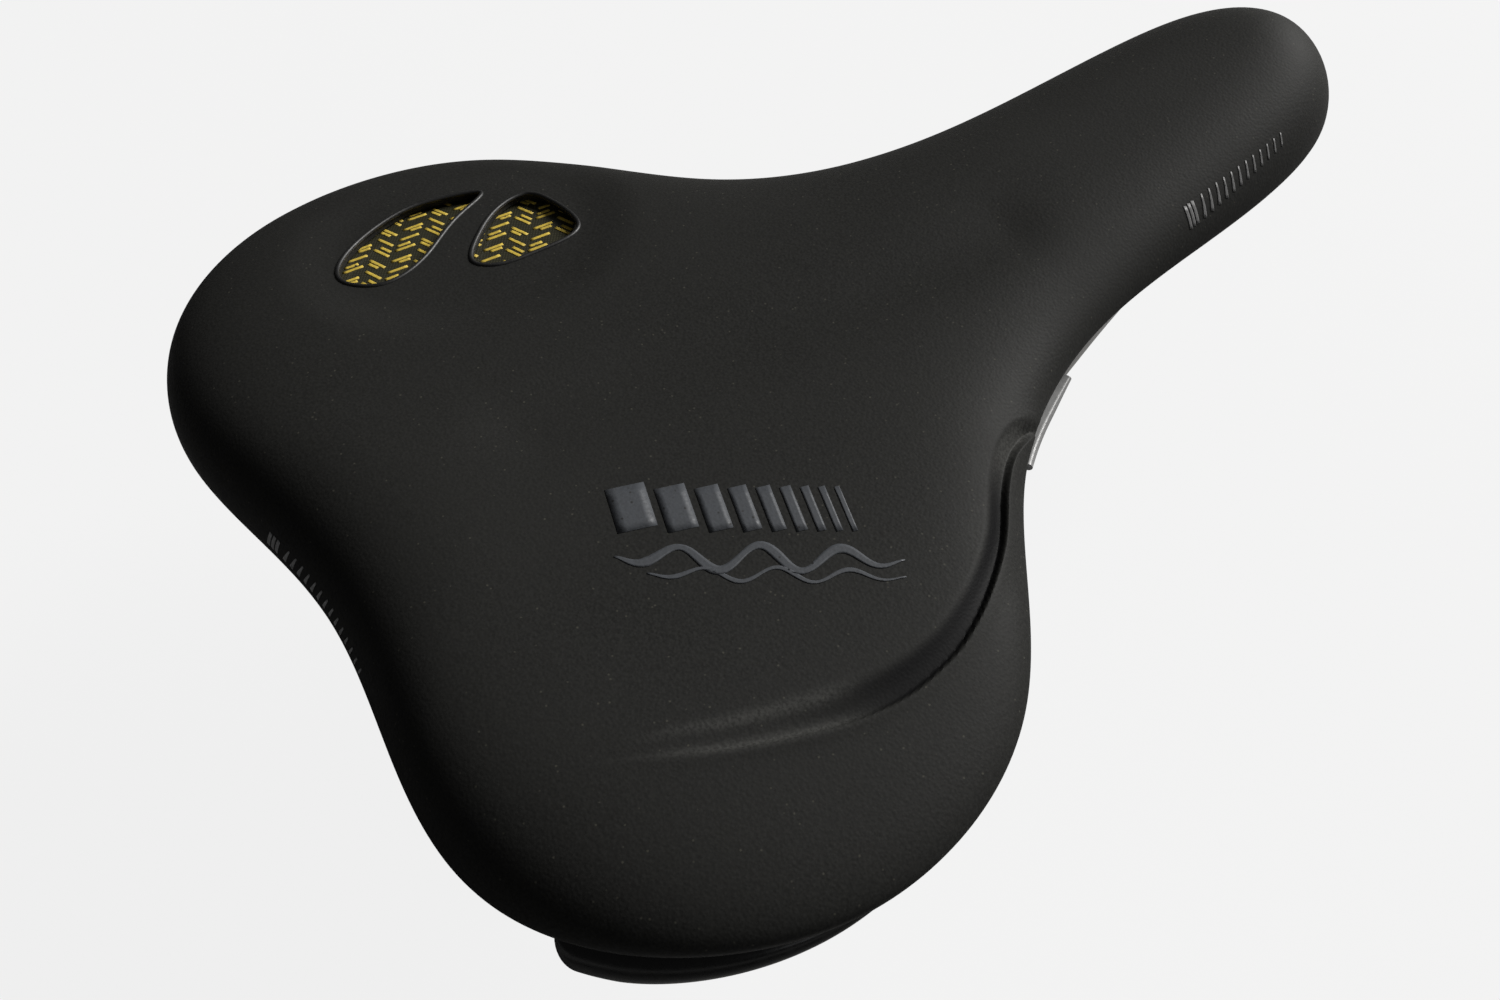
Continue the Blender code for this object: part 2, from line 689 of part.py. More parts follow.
def rim_strip(name, sign, span, section, scale, finish, stations=16):
    """A strip under the rim: its section is (in from the outline, above the cover's edge)."""
    indices = np.linspace(*span, stations)
    rim = Rim(indices)
    anchor = np.mean(section, axis=0)
    anchor[1] = max(up for _, up in section)
    rows = []
    for i, t in enumerate(np.linspace(0, 1, stations)):
        row = []
        for point in section:
            inset, up = anchor + (np.array(point) - anchor) * scale(t)
            x, y = rim.outer[i] - rim.out[i] * inset
            row.append((sign * x, y, rim.edge[i] - rim.skirt[i] + up))
        rows.append(row)
    return loft(name, rows, finish)


def bumper_section():
    """Round outer face, then a flat floor and a flat top that sits under the rim."""
    centre = (TUCK + 1.0 * MM, -(BUMPER_DEPTH + RIM_GAP) / 2)
    radii = (BUMPER_PROUD + 1.0 * MM, (BUMPER_DEPTH - RIM_GAP) / 2)
    points = []
    for degrees in range(75, -91, -30):
        angle = math.radians(degrees)
        points.append((centre[0] - radii[0] * math.cos(angle), centre[1] + radii[1] * math.sin(angle)))
    inner = TUCK + BUMPER_REACH
    points += [(inner - 1.5 * MM, -BUMPER_DEPTH), (inner, -0.75 * BUMPER_DEPTH), (inner, -RIM_GAP)]
    return points + [(TUCK + 0.4 * MM, -RIM_GAP)]


def bumper_scale(t):
    """The front end runs out slowly, the rear end is blunt."""
    front = min(1, (t + 0.02) / BUMPER_RUN_OUT)
    rear = min(1, (1.01 - t) / BUMPER_BLUNT)
    return (1 - (1 - front) ** 1.4) * math.sqrt(1 - (1 - rear) ** 2)


def clip_section():
    outer = TUCK - CLIP_PROUD
    inner = TUCK + CLIP_REACH
    top = -RIM_GAP
    low = top - CLIP_THICK
    corner = 0.3 * CLIP_THICK
    return [
        (inner, top),
        (outer + corner, top),
        (outer, top - corner),
        (outer, low + corner),
        (outer + corner, low),
        (inner, low),
    ]


def clip_scale(t):
    front = min(1, (t + 0.02) / 0.5)
    return 0.55 + 0.45 * math.sin(front * math.pi / 2)


def make_rim_strips():
    for side, sign in SIDES:
        rim_strip(f"bumper_{side}", sign, BUMPER_SPAN, bumper_section(), bumper_scale, "black_plastic")
        rim_strip(f"edge_clip_{side}", sign, CLIP_SPAN, clip_section(), clip_scale, "grey_plastic", 8)


def hermite(start, end, pull, steps):
    """Points from start to end that leave and arrive along -Y."""
    start = Vector(start)
    end = Vector(end)
    tangent = Vector((0, -pull, 0))
    points = []
    for i in range(1, steps + 1):
        t = i / steps
        points.append(
            (2 * t**3 - 3 * t**2 + 1) * start
            + (t**3 - 2 * t**2 + t) * tangent
            + (3 * t**2 - 2 * t**3) * end
            + (t**3 - t**2) * tangent
        )
    return points


def half_wire():
    """Middle of the wire, from the hinge's centre along the right rail to its rear end."""
    points = [Vector((0, PIVOT_Y, PIVOT_Z))]
    for degrees in range(90, -1, -18):
        angle = math.radians(degrees)
        x = PIVOT_HALF - WIRE_BEND * (1 - math.cos(angle))
        y = PIVOT_Y - WIRE_BEND * (1 - math.sin(angle))
        points.append(Vector((x, y, PIVOT_Z)))
    spread = RAIL_SPREAD / 2
    points += hermite(points[-1], (spread, RAIL_FRONT, RAIL_Z), RAIL_PULL, 12)
    points.append(Vector((spread, SPRING_Y + RAIL_REAR, RAIL_Z)))
    socket_front = SPRING_Y + RAIL_CLIP_LENGTH / 2 + RAIL_CLIP_LEAD
    points += hermite(points[-1], (RAIL_END_X, socket_front, RAIL_END_Z), TAIL_PULL, 6)
    points.append(Vector((RAIL_END_X, RAIL_END_Y, RAIL_END_Z)))
    return points


def make_rail_frame():
    right = half_wire()
    left = [Vector((-x, y, z)) for x, y, z in right[:0:-1]]
    curve = bpy.data.curves.new("rail_frame", "CURVE")
    curve.dimensions = "3D"
    curve.bevel_depth = WIRE / 2
    curve.bevel_resolution = 2
    curve.use_fill_caps = True
    spline = curve.splines.new("POLY")
    points = left + right
    spline.points.add(len(points) - 1)
    for point, place in zip(spline.points, points):
        point.co = (*place, 1)
    curve.materials.append(finish_material("rail_steel"))
    PARTS.objects.link(bpy.data.objects.new("rail_frame", curve))


def make_bridge():
    """Steel plate across both rail ends, with a hole for each spring bolt and clip screw."""
    length, width, thick = BRIDGE_SIZE
    outline = []
    for sign in (1, -1):
        for degrees in range(-90, 91, 30):
            angle = math.radians(degrees)
            end = length / 2 - width / 2
            outline.append(
                (sign * (end + width / 2 * math.cos(angle)), SPRING_Y + sign * width / 2 * math.sin(angle))
            )
    bridge = prism("rear_bridge", outline, BRIDGE_BASE, BRIDGE_BASE + thick, "rail_steel")
    for side, sign in SIDES:
        bolt = (sign * SPRING_X, SPRING_Y, BRIDGE_BASE)
        combine(bridge, cylinder(f"bolt_hole_{side}", BOLT / 2 + BOLT_PLAY, 4 * thick, bolt))
        screw = (sign * clip_screw_x(), SPRING_Y, BRIDGE_BASE)
        combine(bridge, cylinder(f"clip_hole_{side}", CLIP_SCREW / 2 + SCREW_PLAY, 4 * thick, screw))


def clip_screw_x():
    return RAIL_END_X - WIRE_FIT - RAIL_CLIP_WALL / 2 - RAIL_CLIP_TAB / 2


def make_rail_clips():
    """A block under each rail end, hollowed for the wire, with a tab that takes one screw."""
    top = BRIDGE_BASE - GAP
    low = RAIL_END_Z - WIRE_FIT - RAIL_CLIP_WALL
    outer = RAIL_END_X + WIRE_FIT + RAIL_CLIP_WALL
    block_inner = RAIL_END_X - WIRE_FIT - RAIL_CLIP_WALL
    inner = block_inner - RAIL_CLIP_TAB
    for side, sign in SIDES:
        size = (outer - inner, RAIL_CLIP_LENGTH, top - low)
        centre = (sign * (outer + inner) / 2, SPRING_Y, (top + low) / 2)
        clip = box(f"rail_clip_{side}", size, centre, "black_plastic", 0.8 * MM)
        under_tab = (2 * RAIL_CLIP_TAB, 2 * RAIL_CLIP_LENGTH, 2 * (top - low - RAIL_CLIP_TAB_THICK))
        place = (sign * (block_inner - RAIL_CLIP_TAB), SPRING_Y, low)
        combine(clip, box(f"tab_relief_{side}", under_tab, place))
        wire = (sign * RAIL_END_X, SPRING_Y, RAIL_END_Z)
        long = 2 * RAIL_CLIP_LENGTH
        combine(clip, cylinder(f"wire_socket_{side}", WIRE_FIT, long, wire, Y, sides=16))
        mouth_high = 2 * (top - RAIL_END_Z)
        mouth = (sign * RAIL_END_X, SPRING_Y, RAIL_END_Z + mouth_high / 2)
        combine(clip, box(f"wire_mouth_{side}", (2 * WIRE_FIT, long, mouth_high), mouth))
        screw = (sign * clip_screw_x(), SPRING_Y, top)
        combine(clip, cylinder(f"clip_way_{side}", CLIP_SCREW / 2 + SCREW_PLAY, 4 * (top - low), screw))
        start = (sign * clip_screw_x(), SPRING_Y, top - RAIL_CLIP_TAB_THICK - GAP)
        length = RAIL_CLIP_TAB_THICK + BRIDGE_SIZE[2] + 3 * GAP + SCREW_PROUD
        cap_screw(f"clip_screw_{side}", CLIP_SCREW, length, start)


def make_springs():
    """Rubber springs, each on its bolt between the bridge and the shell's boss."""
    inner = BOLT / 2 + SPRING_PLAY
    for side, sign in SIDES:
        place = (sign * SPRING_X, SPRING_Y)
        shape = [
            (inner, 1),
            (SPRING_RADIUS, 1),
            (SPRING_RADIUS, 0.7),
            (SPRING_WAIST, 0.58),
            (SPRING_WAIST, 0.42),
            (SPRING_RADIUS, 0.3),
            (SPRING_RADIUS, 0),
            (inner, 0),
        ]
        profile = [(radius, share * SPRING_HEIGHT) for radius, share in shape]
        turned(f"elastomer_{side}", profile, (*place, SPRING_BASE), Z, "rubber", closed=True)
        washer_base = BRIDGE_BASE - GAP - WASHER_THICK
        seat = (*place, washer_base)
        washer(f"spring_washer_{side}", BOLT, WASHER, seat, Z)
        nut_base = BOSS_BASE + BOSS_FLOOR + GAP
        hex_nut(f"spring_nut_{side}", NUT_FLATS, NUT_HIGH, BOLT, (*place, nut_base + NUT_HIGH / 2), Z)
        start = washer_base - GAP
        cap_screw(f"spring_bolt_{side}", BOLT, nut_base + NUT_HIGH - start, (*place, start))


def make_band():
    """Band round the seatpost's top, with two ears for the cross bolt."""
    ears = EAR_GAP + 2 * EAR_WALL
    cross = (0, CROSS_Y, 0)
    band = cylinder("clamp_band", POST / 2 + BAND_WALL, BAND_HIGH, (0, 0, 0), Z, "clamp_steel", 32)
    combine(band, cylinder("ear_ends", EAR_RADIUS, ears, cross, X), "UNION")
    arm_size = (ears - 2 * ARM_INSET, -CROSS_Y, 2 * (EAR_RADIUS - ARM_INSET))
    arm = box("ear_arms", arm_size, (0, CROSS_Y / 2, 0))
    combine(band, arm, "UNION")
    combine(band, cylinder("post_bore", POST / 2, 2 * BAND_HIGH, (0, 0, 0), Z, sides=32))
    slot_long = EAR_RADIUS - 1.1 * CROSS_Y
    combine(band, box("ear_slot", (EAR_GAP, slot_long, 2 * BAND_HIGH), (0, -slot_long / 2, 0)))
    combine(band, cross_hole("cross_hole_band"))


def cross_hole(name):
    return cylinder(name, CROSS_BOLT / 2 + GAP, 4 * OUTER_FACE, (0, CROSS_Y, 0), X, sides=16)


def make_cheeks():
    """Inner and outer cheeks with a groove for the rail between them."""
    split = RAIL_SPREAD / 2
    ears = EAR_GAP / 2 + EAR_WALL
    for side, sign in SIDES:
        rail = (sign * split, CROSS_Y, RAIL_Z)
        faces = {
            "inner_cheek": (INNER_FACE, split - CHEEK_SPLIT / 2),
            "outer_cheek": (split + CHEEK_SPLIT / 2, OUTER_FACE),
        }
        for name, (near, far) in faces.items():
            size = (far - near, CHEEK_LENGTH, CHEEK_HIGH)
            centre = (sign * (near + far) / 2, CROSS_Y, CHEEK_RISE)
            cheek = box(f"{name}_{side}", size, centre, "clamp_steel", CHEEK_ROUND)
            if name == "inner_cheek":
                start = ears + GAP
                reach = near + HUB_ROOT - start
                hub = (sign * (start + reach / 2), CROSS_Y, 0)
                combine(cheek, cylinder(f"hub_{side}", HUB_RADIUS, reach, hub, X), "UNION")
            groove = cylinder(f"{name}_groove_{side}", WIRE_FIT, 2 * CHEEK_LENGTH, rail, Y, sides=16)
            combine(cheek, groove)
            combine(cheek, cross_hole(f"{name}_hole_{side}"))


def make_cross_bolt():
    """Threaded stud through both cheeks, with a washer and a nut at each end."""
    washer_face = OUTER_FACE + GAP
    nut_face = washer_face + WASHER_THICK + GAP
    half = nut_face + CROSS_NUT_HIGH + STUD_PROUD
    radius = CROSS_BOLT / 2
    chamfer = 0.8 * MM
    profile = [
        (0, half),
        (radius - chamfer, half),
        (radius, half - chamfer),
        (radius, chamfer - half),
        (radius - chamfer, -half),
        (0, -half),
    ]
    turned("clamp_stud", profile, (0, CROSS_Y, 0), X, "zinc_steel")
    for side, sign in SIDES:
        outward = (sign, 0, 0)
        seat = (sign * washer_face, CROSS_Y, 0)
        washer(f"clamp_washer_{side}", CROSS_BOLT, CROSS_WASHER, seat, outward)
        nut = (sign * (nut_face + CROSS_NUT_HIGH / 2), CROSS_Y, 0)
        hex_nut(f"clamp_nut_{side}", CROSS_NUT_FLATS, CROSS_NUT_HIGH, CROSS_BOLT, nut, outward)


# Each joint's axis, in the order that they carry one another, and the pieces that move with it
CLAMP_HEAD = ("inner_cheek", "outer_cheek", "clamp_stud", "clamp_washer", "clamp_nut")
RAILS = ("rail_frame", "rear_bridge", "rail_clip", "clip_screw", "elastomer")
FIXED = ("clamp_band",)
AXES = (
    ("tilt_axis", (0, CROSS_Y, 0)),
    ("slide_axis", (0, CROSS_Y, RAIL_Z)),
    ("flex_axis", (0, PIVOT_Y, PIVOT_Z)),
)


def axis_of(name):
    """The axis that a piece moves on: all but the clamp and the rails move with the seat."""
    if name.startswith(FIXED):
        return None
    if name.startswith(CLAMP_HEAD):
        return "tilt_axis"
    return "slide_axis" if name.startswith(RAILS) else "flex_axis"


def hang(obj, parent):
    obj.parent = parent
    obj.matrix_parent_inverse = parent.matrix_world.inverted()


def hang_on_axes():
    """Every moving piece hangs on an empty on its joint's axis."""
    empties = {}
    carrier = None
    for name, place in AXES:
        empty = bpy.data.objects.new(name, None)
        empty.location = place
        PARTS.objects.link(empty)
        bpy.context.view_layer.update()
        if carrier:
            hang(empty, carrier)
        empties[name] = empty
        carrier = empty
    bpy.context.view_layer.update()
    for obj in PARTS.objects:
        axis = None if obj.type == "EMPTY" else axis_of(obj.name)
        if axis:
            hang(obj, empties[axis])


make_cover()
make_foam()
make_gel()
make_shell()
make_nose_mount()
make_rim_strips()
make_rail_frame()
make_bridge()
make_rail_clips()
make_springs()
make_band()
make_cheeks()
make_cross_bolt()
hang_on_axes()
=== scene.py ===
"""Looks of a wide gel saddle: the padded top, its moulded base, springs, rails and clamp.

+Y points to the nose, +X to the rider's right and +Z up, as in the frame it is built round.
"""

import math

import bmesh
import bpy
import numpy as np
from mathutils import Matrix, Vector
from mathutils.bvhtree import BVHTree


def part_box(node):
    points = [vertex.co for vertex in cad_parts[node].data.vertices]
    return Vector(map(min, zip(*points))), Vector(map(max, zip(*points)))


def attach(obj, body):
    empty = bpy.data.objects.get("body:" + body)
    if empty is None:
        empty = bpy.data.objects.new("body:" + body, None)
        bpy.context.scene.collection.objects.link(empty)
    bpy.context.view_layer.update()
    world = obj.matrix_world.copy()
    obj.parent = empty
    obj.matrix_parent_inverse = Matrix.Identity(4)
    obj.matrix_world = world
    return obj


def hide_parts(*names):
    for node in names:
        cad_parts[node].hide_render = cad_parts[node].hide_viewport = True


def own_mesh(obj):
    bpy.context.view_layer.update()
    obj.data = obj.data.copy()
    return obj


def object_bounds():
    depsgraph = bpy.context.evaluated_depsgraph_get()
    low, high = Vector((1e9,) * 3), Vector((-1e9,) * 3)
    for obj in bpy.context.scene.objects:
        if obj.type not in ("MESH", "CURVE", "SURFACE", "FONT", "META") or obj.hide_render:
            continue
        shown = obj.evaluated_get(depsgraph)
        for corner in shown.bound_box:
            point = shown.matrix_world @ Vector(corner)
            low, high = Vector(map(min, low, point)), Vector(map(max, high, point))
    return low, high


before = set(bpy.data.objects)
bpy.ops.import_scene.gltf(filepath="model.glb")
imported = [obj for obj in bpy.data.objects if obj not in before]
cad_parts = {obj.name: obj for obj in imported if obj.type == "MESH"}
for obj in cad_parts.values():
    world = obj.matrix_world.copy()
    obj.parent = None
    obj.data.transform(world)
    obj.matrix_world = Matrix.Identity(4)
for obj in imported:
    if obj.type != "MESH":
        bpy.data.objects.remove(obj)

CAD_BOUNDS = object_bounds()

MM = 0.001
GAP = 0.3 * MM
MERGE = 0.02 * MM
SIDES = (("left", -1), ("right", 1))
UP = Vector((0, 0, 1))
DOWN = -UP

# Padded top, in plan
COVER_LOW, COVER_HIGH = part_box("cover")
NOSE_TIP_Y = COVER_HIGH.y
REAR_Y = COVER_LOW.y
LENGTH = NOSE_TIP_Y - REAR_Y
# Outline points as shares: of the nose, of the flare from waist to wing, and of the wing's end
NOSE_CORNER = (0.573, 0.225)
FLARES = ((0.3, 0.675), (0.831, 0.384))
WIDEST = 0.994
REAR_CORNER = (0.82, 0.287)
LOBES = ((0.58, 0.172), (0.334, 0.241))
WIDTH = 2 * COVER_HIGH.x / WIDEST
NOSE_WIDTH = 49.0 * MM
NOSE_ROUND = 20.0 * MM
NECK_WIDTH = 59.8 * MM
NECK_BACK = 58.0 * MM
WAIST_WIDTH = 70.6 * MM
WAIST_BACK = 100.0 * MM
WING_AHEAD = 49.5 * MM
NOTCH = 5.8 * MM

# Padded top, in side view
REAR_TOP = 85.3 * MM
MIDDLE_TOP = 65.9 * MM
NOSE_TOP = 69.5 * MM
RIM_DROPS = (17.8 * MM, 10.7 * MM, 12.5 * MM, 21.4 * MM, 20.0 * MM)
SKIRTS = (5.8 * MM, 6.2 * MM, 6.6 * MM, 6.8 * MM, 7.0 * MM)
TUCK = 4.2 * MM
CROWN_FLATNESS = 2.8
CROWN_ROUNDNESS = 1.93
SPINE_FROM_REAR = 45.0 * MM
SPINE_FROM_NOSE = 22.0 * MM

# Layers of the top
COVER_WALL = 2.0 * MM
FOAM_REAR = 19.0 * MM
FOAM_MIDDLE = 12.5 * MM
FOAM_NOSE = 13.5 * MM
SHELL_WALL = 3.0 * MM
GEL_THICK = 6.0 * MM
BADGE_THICK = 1.2 * MM
RIM_GAP = 0.8 * MM
SHELL_INSET = TUCK + COVER_WALL

# Shallow shapes pressed into the cover
DISH_RADII = (28.5 * MM, 33.0 * MM)
DISH_DEPTH = 1.5 * MM
DISH_EDGE = 0.22  # width of the dish's rising edge, as a share of its radius
DISH_TURN = math.radians(-11)
VALLEY = ((-7 * MM, -66 * MM), (-6 * MM, -40 * MM), (0, -8 * MM), (6 * MM, 20 * MM), (8 * MM, 42 * MM))
VALLEY_DEPTH = 1.1 * MM
VALLEY_SPREAD = 9.0 * MM
# Middle of the groove in the right wing, with its half width there, from its tail to its hook
GROOVE = (
    (61.0, -96.0, 0.5),
    (65.6, -84.5, 2.0),
    (70.9, -73.0, 2.5),
    (74.5, -63.0, 2.8),
    (77.0, -54.0, 3.0),
    (78.1, -45.0, 3.1),
    (77.6, -37.0, 2.8),
    (75.9, -29.5, 2.5),
    (71.6, -20.0, 2.0),
    (64.8, -10.0, 1.7),
    (55.6, -1.0, 1.7),
    (50.3, 5.5, 1.7),
    (47.6, 11.5, 1.6),
    (46.2, 19.0, 0.6),
)
GROOVE_DEPTH = 1.8 * MM
# Where each starts, is full, begins to fade and ends: across in half widths, along as a share
GROOVE_ACROSS = (-1.5, 0.9, 0.8, 1.15)
GROOVE_ALONG = (0.0, 0.3, 0.93, 1.0)
# Spans of the painted shade on the groove's floor, partly its own darker pressed tone
GROOVE_SHADE_ACROSS = (-1.25, -0.55, 0.85, 1.1)
GROOVE_SHADE_ALONG = (0.22, 0.42, 0.70, 0.86)
# Spans of the painted highlights at the groove's tail and towards its hook
TAIL_HIGHLIGHT_ALONG = (0.03, 0.16, 0.26, 0.36)
HOOK_HIGHLIGHT_ALONG = (0.74, 0.86, 0.92, 1.0)
HOOK_HIGHLIGHT_ACROSS = (-1.2, -0.6, 0.8, 1.1)
LIP_HIGH = 0.45 * MM
LIP_BROAD = 2.2 * MM

# Windows, from listed points ahead of and beside the badge's centre
LEAF = (
    (-11, 14), (-15, 6), (-16, -3), (-12, -15), (-6, -23), (-1, -25),
    (3, -23), (6, -18), (5, -11), (1, -4), (-6, 6),
)
DROP = (
    (-4, 22), (2, 25), (9, 26), (14, 25), (16, 21), (16, 13),
    (15, 5), (12, 1), (9, 1), (3, 6), (-3, 14),
)
HEM_RADIUS = 0.55 * MM

# Springs, rails and hinge, from the frame
SPRING_LOW, SPRING_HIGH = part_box("elastomer_right")
SPRING_CENTRE = (SPRING_LOW + SPRING_HIGH) / 2
SPRING_RADIUS = (SPRING_HIGH.x - SPRING_LOW.x) / 2
SPRING_HEIGHT = SPRING_HIGH.z - SPRING_LOW.z
BOLT = 6.0 * MM
BOSS_RADIUS = 17.0 * MM
BOSS_BASE = SPRING_HIGH.z + GAP
WIRE = 7.0 * MM
RAIL_LOW, RAIL_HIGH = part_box("rail_frame")
RAIL_SPREAD = 44.0 * MM
RAIL_Z = RAIL_LOW.z + WIRE / 2
RAIL_STRAIGHT = (-62.0 * MM, 13.0 * MM)
PIVOT_Y = RAIL_HIGH.y - WIRE / 2
PIVOT_Z = RAIL_HIGH.z - WIRE / 2
PIVOT_HALF = 14.0 * MM
WIRE_BEND = 7.0 * MM
RAIL_PULL = 85.0 * MM
TAIL_PULL = 18.0 * MM
RAIL_END_X = 28.0 * MM
RAIL_END_Y = RAIL_LOW.y + 0.4 * MM
CLIP_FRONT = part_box("rail_clip_right")[1].y
BRIDGE_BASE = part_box("rear_bridge")[0].z
RAIL_END_Z = BRIDGE_BASE - GAP - WIRE / 2
CAP_LOW, CAP_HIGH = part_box("nose_cap")


def middle_and_radii(node):
    """Centre of a node's box, and half its size each way."""
    low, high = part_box(node)
    return (low + high) / 2, (high - low) / 2


BADGE_CENTRE = middle_and_radii("window_badge")[0].xy


# -------- the top's surface


class ClosedSpline:
    """Smooth closed curve through its points: a periodic cubic over the root of chord length."""

    def __init__(self, points):
        self.points = np.array(points, float)
        ahead = np.roll(self.points, -1, axis=0)
        self.steps = np.sqrt(np.linalg.norm(ahead - self.points, axis=1))
        count = len(self.points)
        slopes = (ahead - self.points) / self.steps[:, None]
        system = np.zeros((count, count))
        for i in range(count):
            system[i, i - 1] += self.steps[i - 1]
            system[i, i] += 2 * (self.steps[i - 1] + self.steps[i])
            system[i, (i + 1) % count] += self.steps[i]
        self.bends = np.linalg.solve(system, 6 * (slopes - np.roll(slopes, 1, axis=0)))

    def at(self, index):
        """The point at a fractional index: 2.5 lies halfway between points 2 and 3."""
        index = np.asarray(index, float)
        first = np.floor(index).astype(int) % len(self.points)
        second = (first + 1) % len(self.points)
        t = (index - np.floor(index))[..., None]
        step = self.steps[first][..., None] ** 2
        straight = (1 - t) * self.points[first] + t * self.points[second]
        bend = (t**3 - t) * self.bends[second] + ((1 - t) ** 3 - (1 - t)) * self.bends[first]
        return straight + bend * step / 6


def open_curve(points, count):
    """Evenly numbered points on a smooth curve through the given ones (centripetal Catmull-Rom)."""
    given = np.array(points, float)
    padded = np.vstack([2 * given[0] - given[1], given, 2 * given[-1] - given[-2]])
    place = np.linspace(0, len(given) - 1, count)
    first = np.minimum(place.astype(int), len(given) - 2)
    t = (place - first)[:, None]
    a, b, c, d = (padded[first + k] for k in range(4))
    return 0.5 * (
        2 * b + (c - a) * t + (2 * a - 5 * b + 4 * c - d) * t**2 + (3 * b - a - 3 * c + d) * t**3
    )


def through_values(values, key):
    """Smooth curve through values at 0, 1, 2 and on, level at both ends, that never overshoots."""
    values = np.array(values)
    rises = np.diff(values)
    product = rises[:-1] * rises[1:]
    slopes = np.zeros(len(values))
    slopes[1:-1] = np.where(product > 0, 2 * product / (rises[:-1] + rises[1:] + 1e-12), 0)
    i = np.clip(np.floor(key).astype(int), 0, len(values) - 2)
    t = key - i
    start = (1 + 2 * t) * (1 - t) ** 2 * values[i] + t * (1 - t) ** 2 * slopes[i]
    end = t**2 * (3 - 2 * t) * values[i + 1] + t**2 * (t - 1) * slopes[i + 1]
    return start + end


def half_outline():
    """Plan of the right half, from the nose tip to the rear notch."""
    nose = NOSE_WIDTH / 2
    waist = WAIST_WIDTH / 2
    wing = WIDTH / 2
    wing_y = REAR_Y + WING_AHEAD
    waist_y = NOSE_TIP_Y - WAIST_BACK
    return [
        (0, NOSE_TIP_Y),
        (NOSE_CORNER[0] * nose, NOSE_TIP_Y - NOSE_CORNER[1] * NOSE_ROUND),
        (nose, NOSE_TIP_Y - NOSE_ROUND),
        (NECK_WIDTH / 2, NOSE_TIP_Y - NECK_BACK),
        (waist, waist_y),
        *[(waist + out * (wing - waist), wing_y + up * (waist_y - wing_y)) for out, up in FLARES],
        (WIDEST * wing, wing_y),
        (REAR_CORNER[0] * wing, REAR_Y + REAR_CORNER[1] * WING_AHEAD),
        *[(out * wing, REAR_Y + up * NOTCH) for out, up in LOBES],
        (0, REAR_Y + NOTCH),
    ]


HALF = half_outline()
OUTLINE = ClosedSpline(HALF + [(-x, y) for x, y in HALF[-2:0:-1]])
HALF_SPANS = len(HALF) - 1


def parabola(rear, middle, nose, y):
    """A value that runs smoothly through those at the rear edge, halfway and at the nose tip."""
    a = np.clip((y - REAR_Y) / LENGTH, 0, 1)
    return rear * (1 - a) * (1 - 2 * a) + middle * 4 * a * (1 - a) + nose * a * (2 * a - 1)


def middle_line(y):
    return parabola(REAR_TOP, MIDDLE_TOP, NOSE_TOP, y)


def padding_depth(y):
    """Depth of the base shell's top under the middle line."""
    return parabola(FOAM_REAR, FOAM_MIDDLE, FOAM_NOSE, y)


def place_key(points):
    """0 at the nose tip, 1 at the waist, 2 at the wing tip, 3 at the rear corner, 4 at the notch."""
    wing_y = REAR_Y + WING_AHEAD
    ahead = 2 * (NOSE_TIP_Y - points[:, 1]) / (NOSE_TIP_Y - wing_y)
    behind = 4 - 2 * np.clip(np.abs(points[:, 0]) / (WIDEST * WIDTH / 2), 0, 1)
    return np.clip(np.where(points[:, 1] > wing_y, ahead, behind), 0, 4)


class Rim:
    """Outline points with what every layer of the top is measured from."""

    def __init__(self, index):
        index = np.asarray(index, float)
        self.outer = OUTLINE.at(index)
        folded = np.where(index > HALF_SPANS, 2 * HALF_SPANS - index, index)
        trail = np.linspace(0, HALF_SPANS, 20 * HALF_SPANS + 1)
        rearmost = np.minimum.accumulate(OUTLINE.at(trail)[:, 1])
        share = (np.interp(folded, trail, rearmost) - REAR_Y) / LENGTH
        start = REAR_Y + SPINE_FROM_REAR
        reach = NOSE_TIP_Y - SPINE_FROM_NOSE - start
        self.spine = np.stack([0 * share, start + reach * share], axis=1)
        along = OUTLINE.at(index + 0.02) - OUTLINE.at(index - 0.02)
        self.out = unit(np.stack([-along[:, 1], along[:, 0]], axis=1))
        self.edge = middle_line(self.outer[:, 1]) - through_values(RIM_DROPS, place_key(self.outer))
        self.skirt = through_values(SKIRTS, place_key(self.outer))

    def crown(self, share, inset, edge, depth):
        """Points of a crowned layer, each its own share of the way from the spine to the edge."""
        rim = self.outer - self.out * inset
        plan = self.spine + (rim - self.spine) * share[:, None]
        top = middle_line(plan[:, 1]) - depth(plan)
        rise = (1 - share**CROWN_FLATNESS) ** (1 / CROWN_ROUNDNESS)
        return np.column_stack([plan, edge + (top - edge) * rise])

    def shell_edge(self):
        return self.edge - self.skirt + SHELL_WALL + 2 * GAP


def even_index(u):
    """Outline index at u, from 0 to 1 all round, with even steps along the edge and both halves alike."""
    trail = np.linspace(0, HALF_SPANS, 400)
    steps = np.linalg.norm(np.diff(OUTLINE.at(trail), axis=0), axis=1)
    run = np.concatenate([[0], np.cumsum(steps)])
    half = np.interp(1 - np.abs(1 - 2 * u), run / run[-1], trail)
    return np.where(u <= 0.5, half, 2 * HALF_SPANS - half)


def share_at(v):
    """Share of the way from the spine at v, from 0 to 1, with close rows where the side turns down."""
    return np.sin(np.clip(v, 0, 1) * math.pi / 2) ** (2 / CROWN_FLATNESS)


def smooth_step(low, high, value):
    t = np.clip((value - low) / (high - low), 0, 1)
    return t * t * (3 - 2 * t)


def band(value, start, full, fade, end):
    """1 between full and fade, falling smoothly to 0 at start and end."""
    return smooth_step(start, full, value) * (1 - smooth_step(fade, end, value))


def bell(offset):
    return np.exp(-(offset**2))


def unit(rows):
    return rows / np.linalg.norm(rows, axis=1)[:, None]


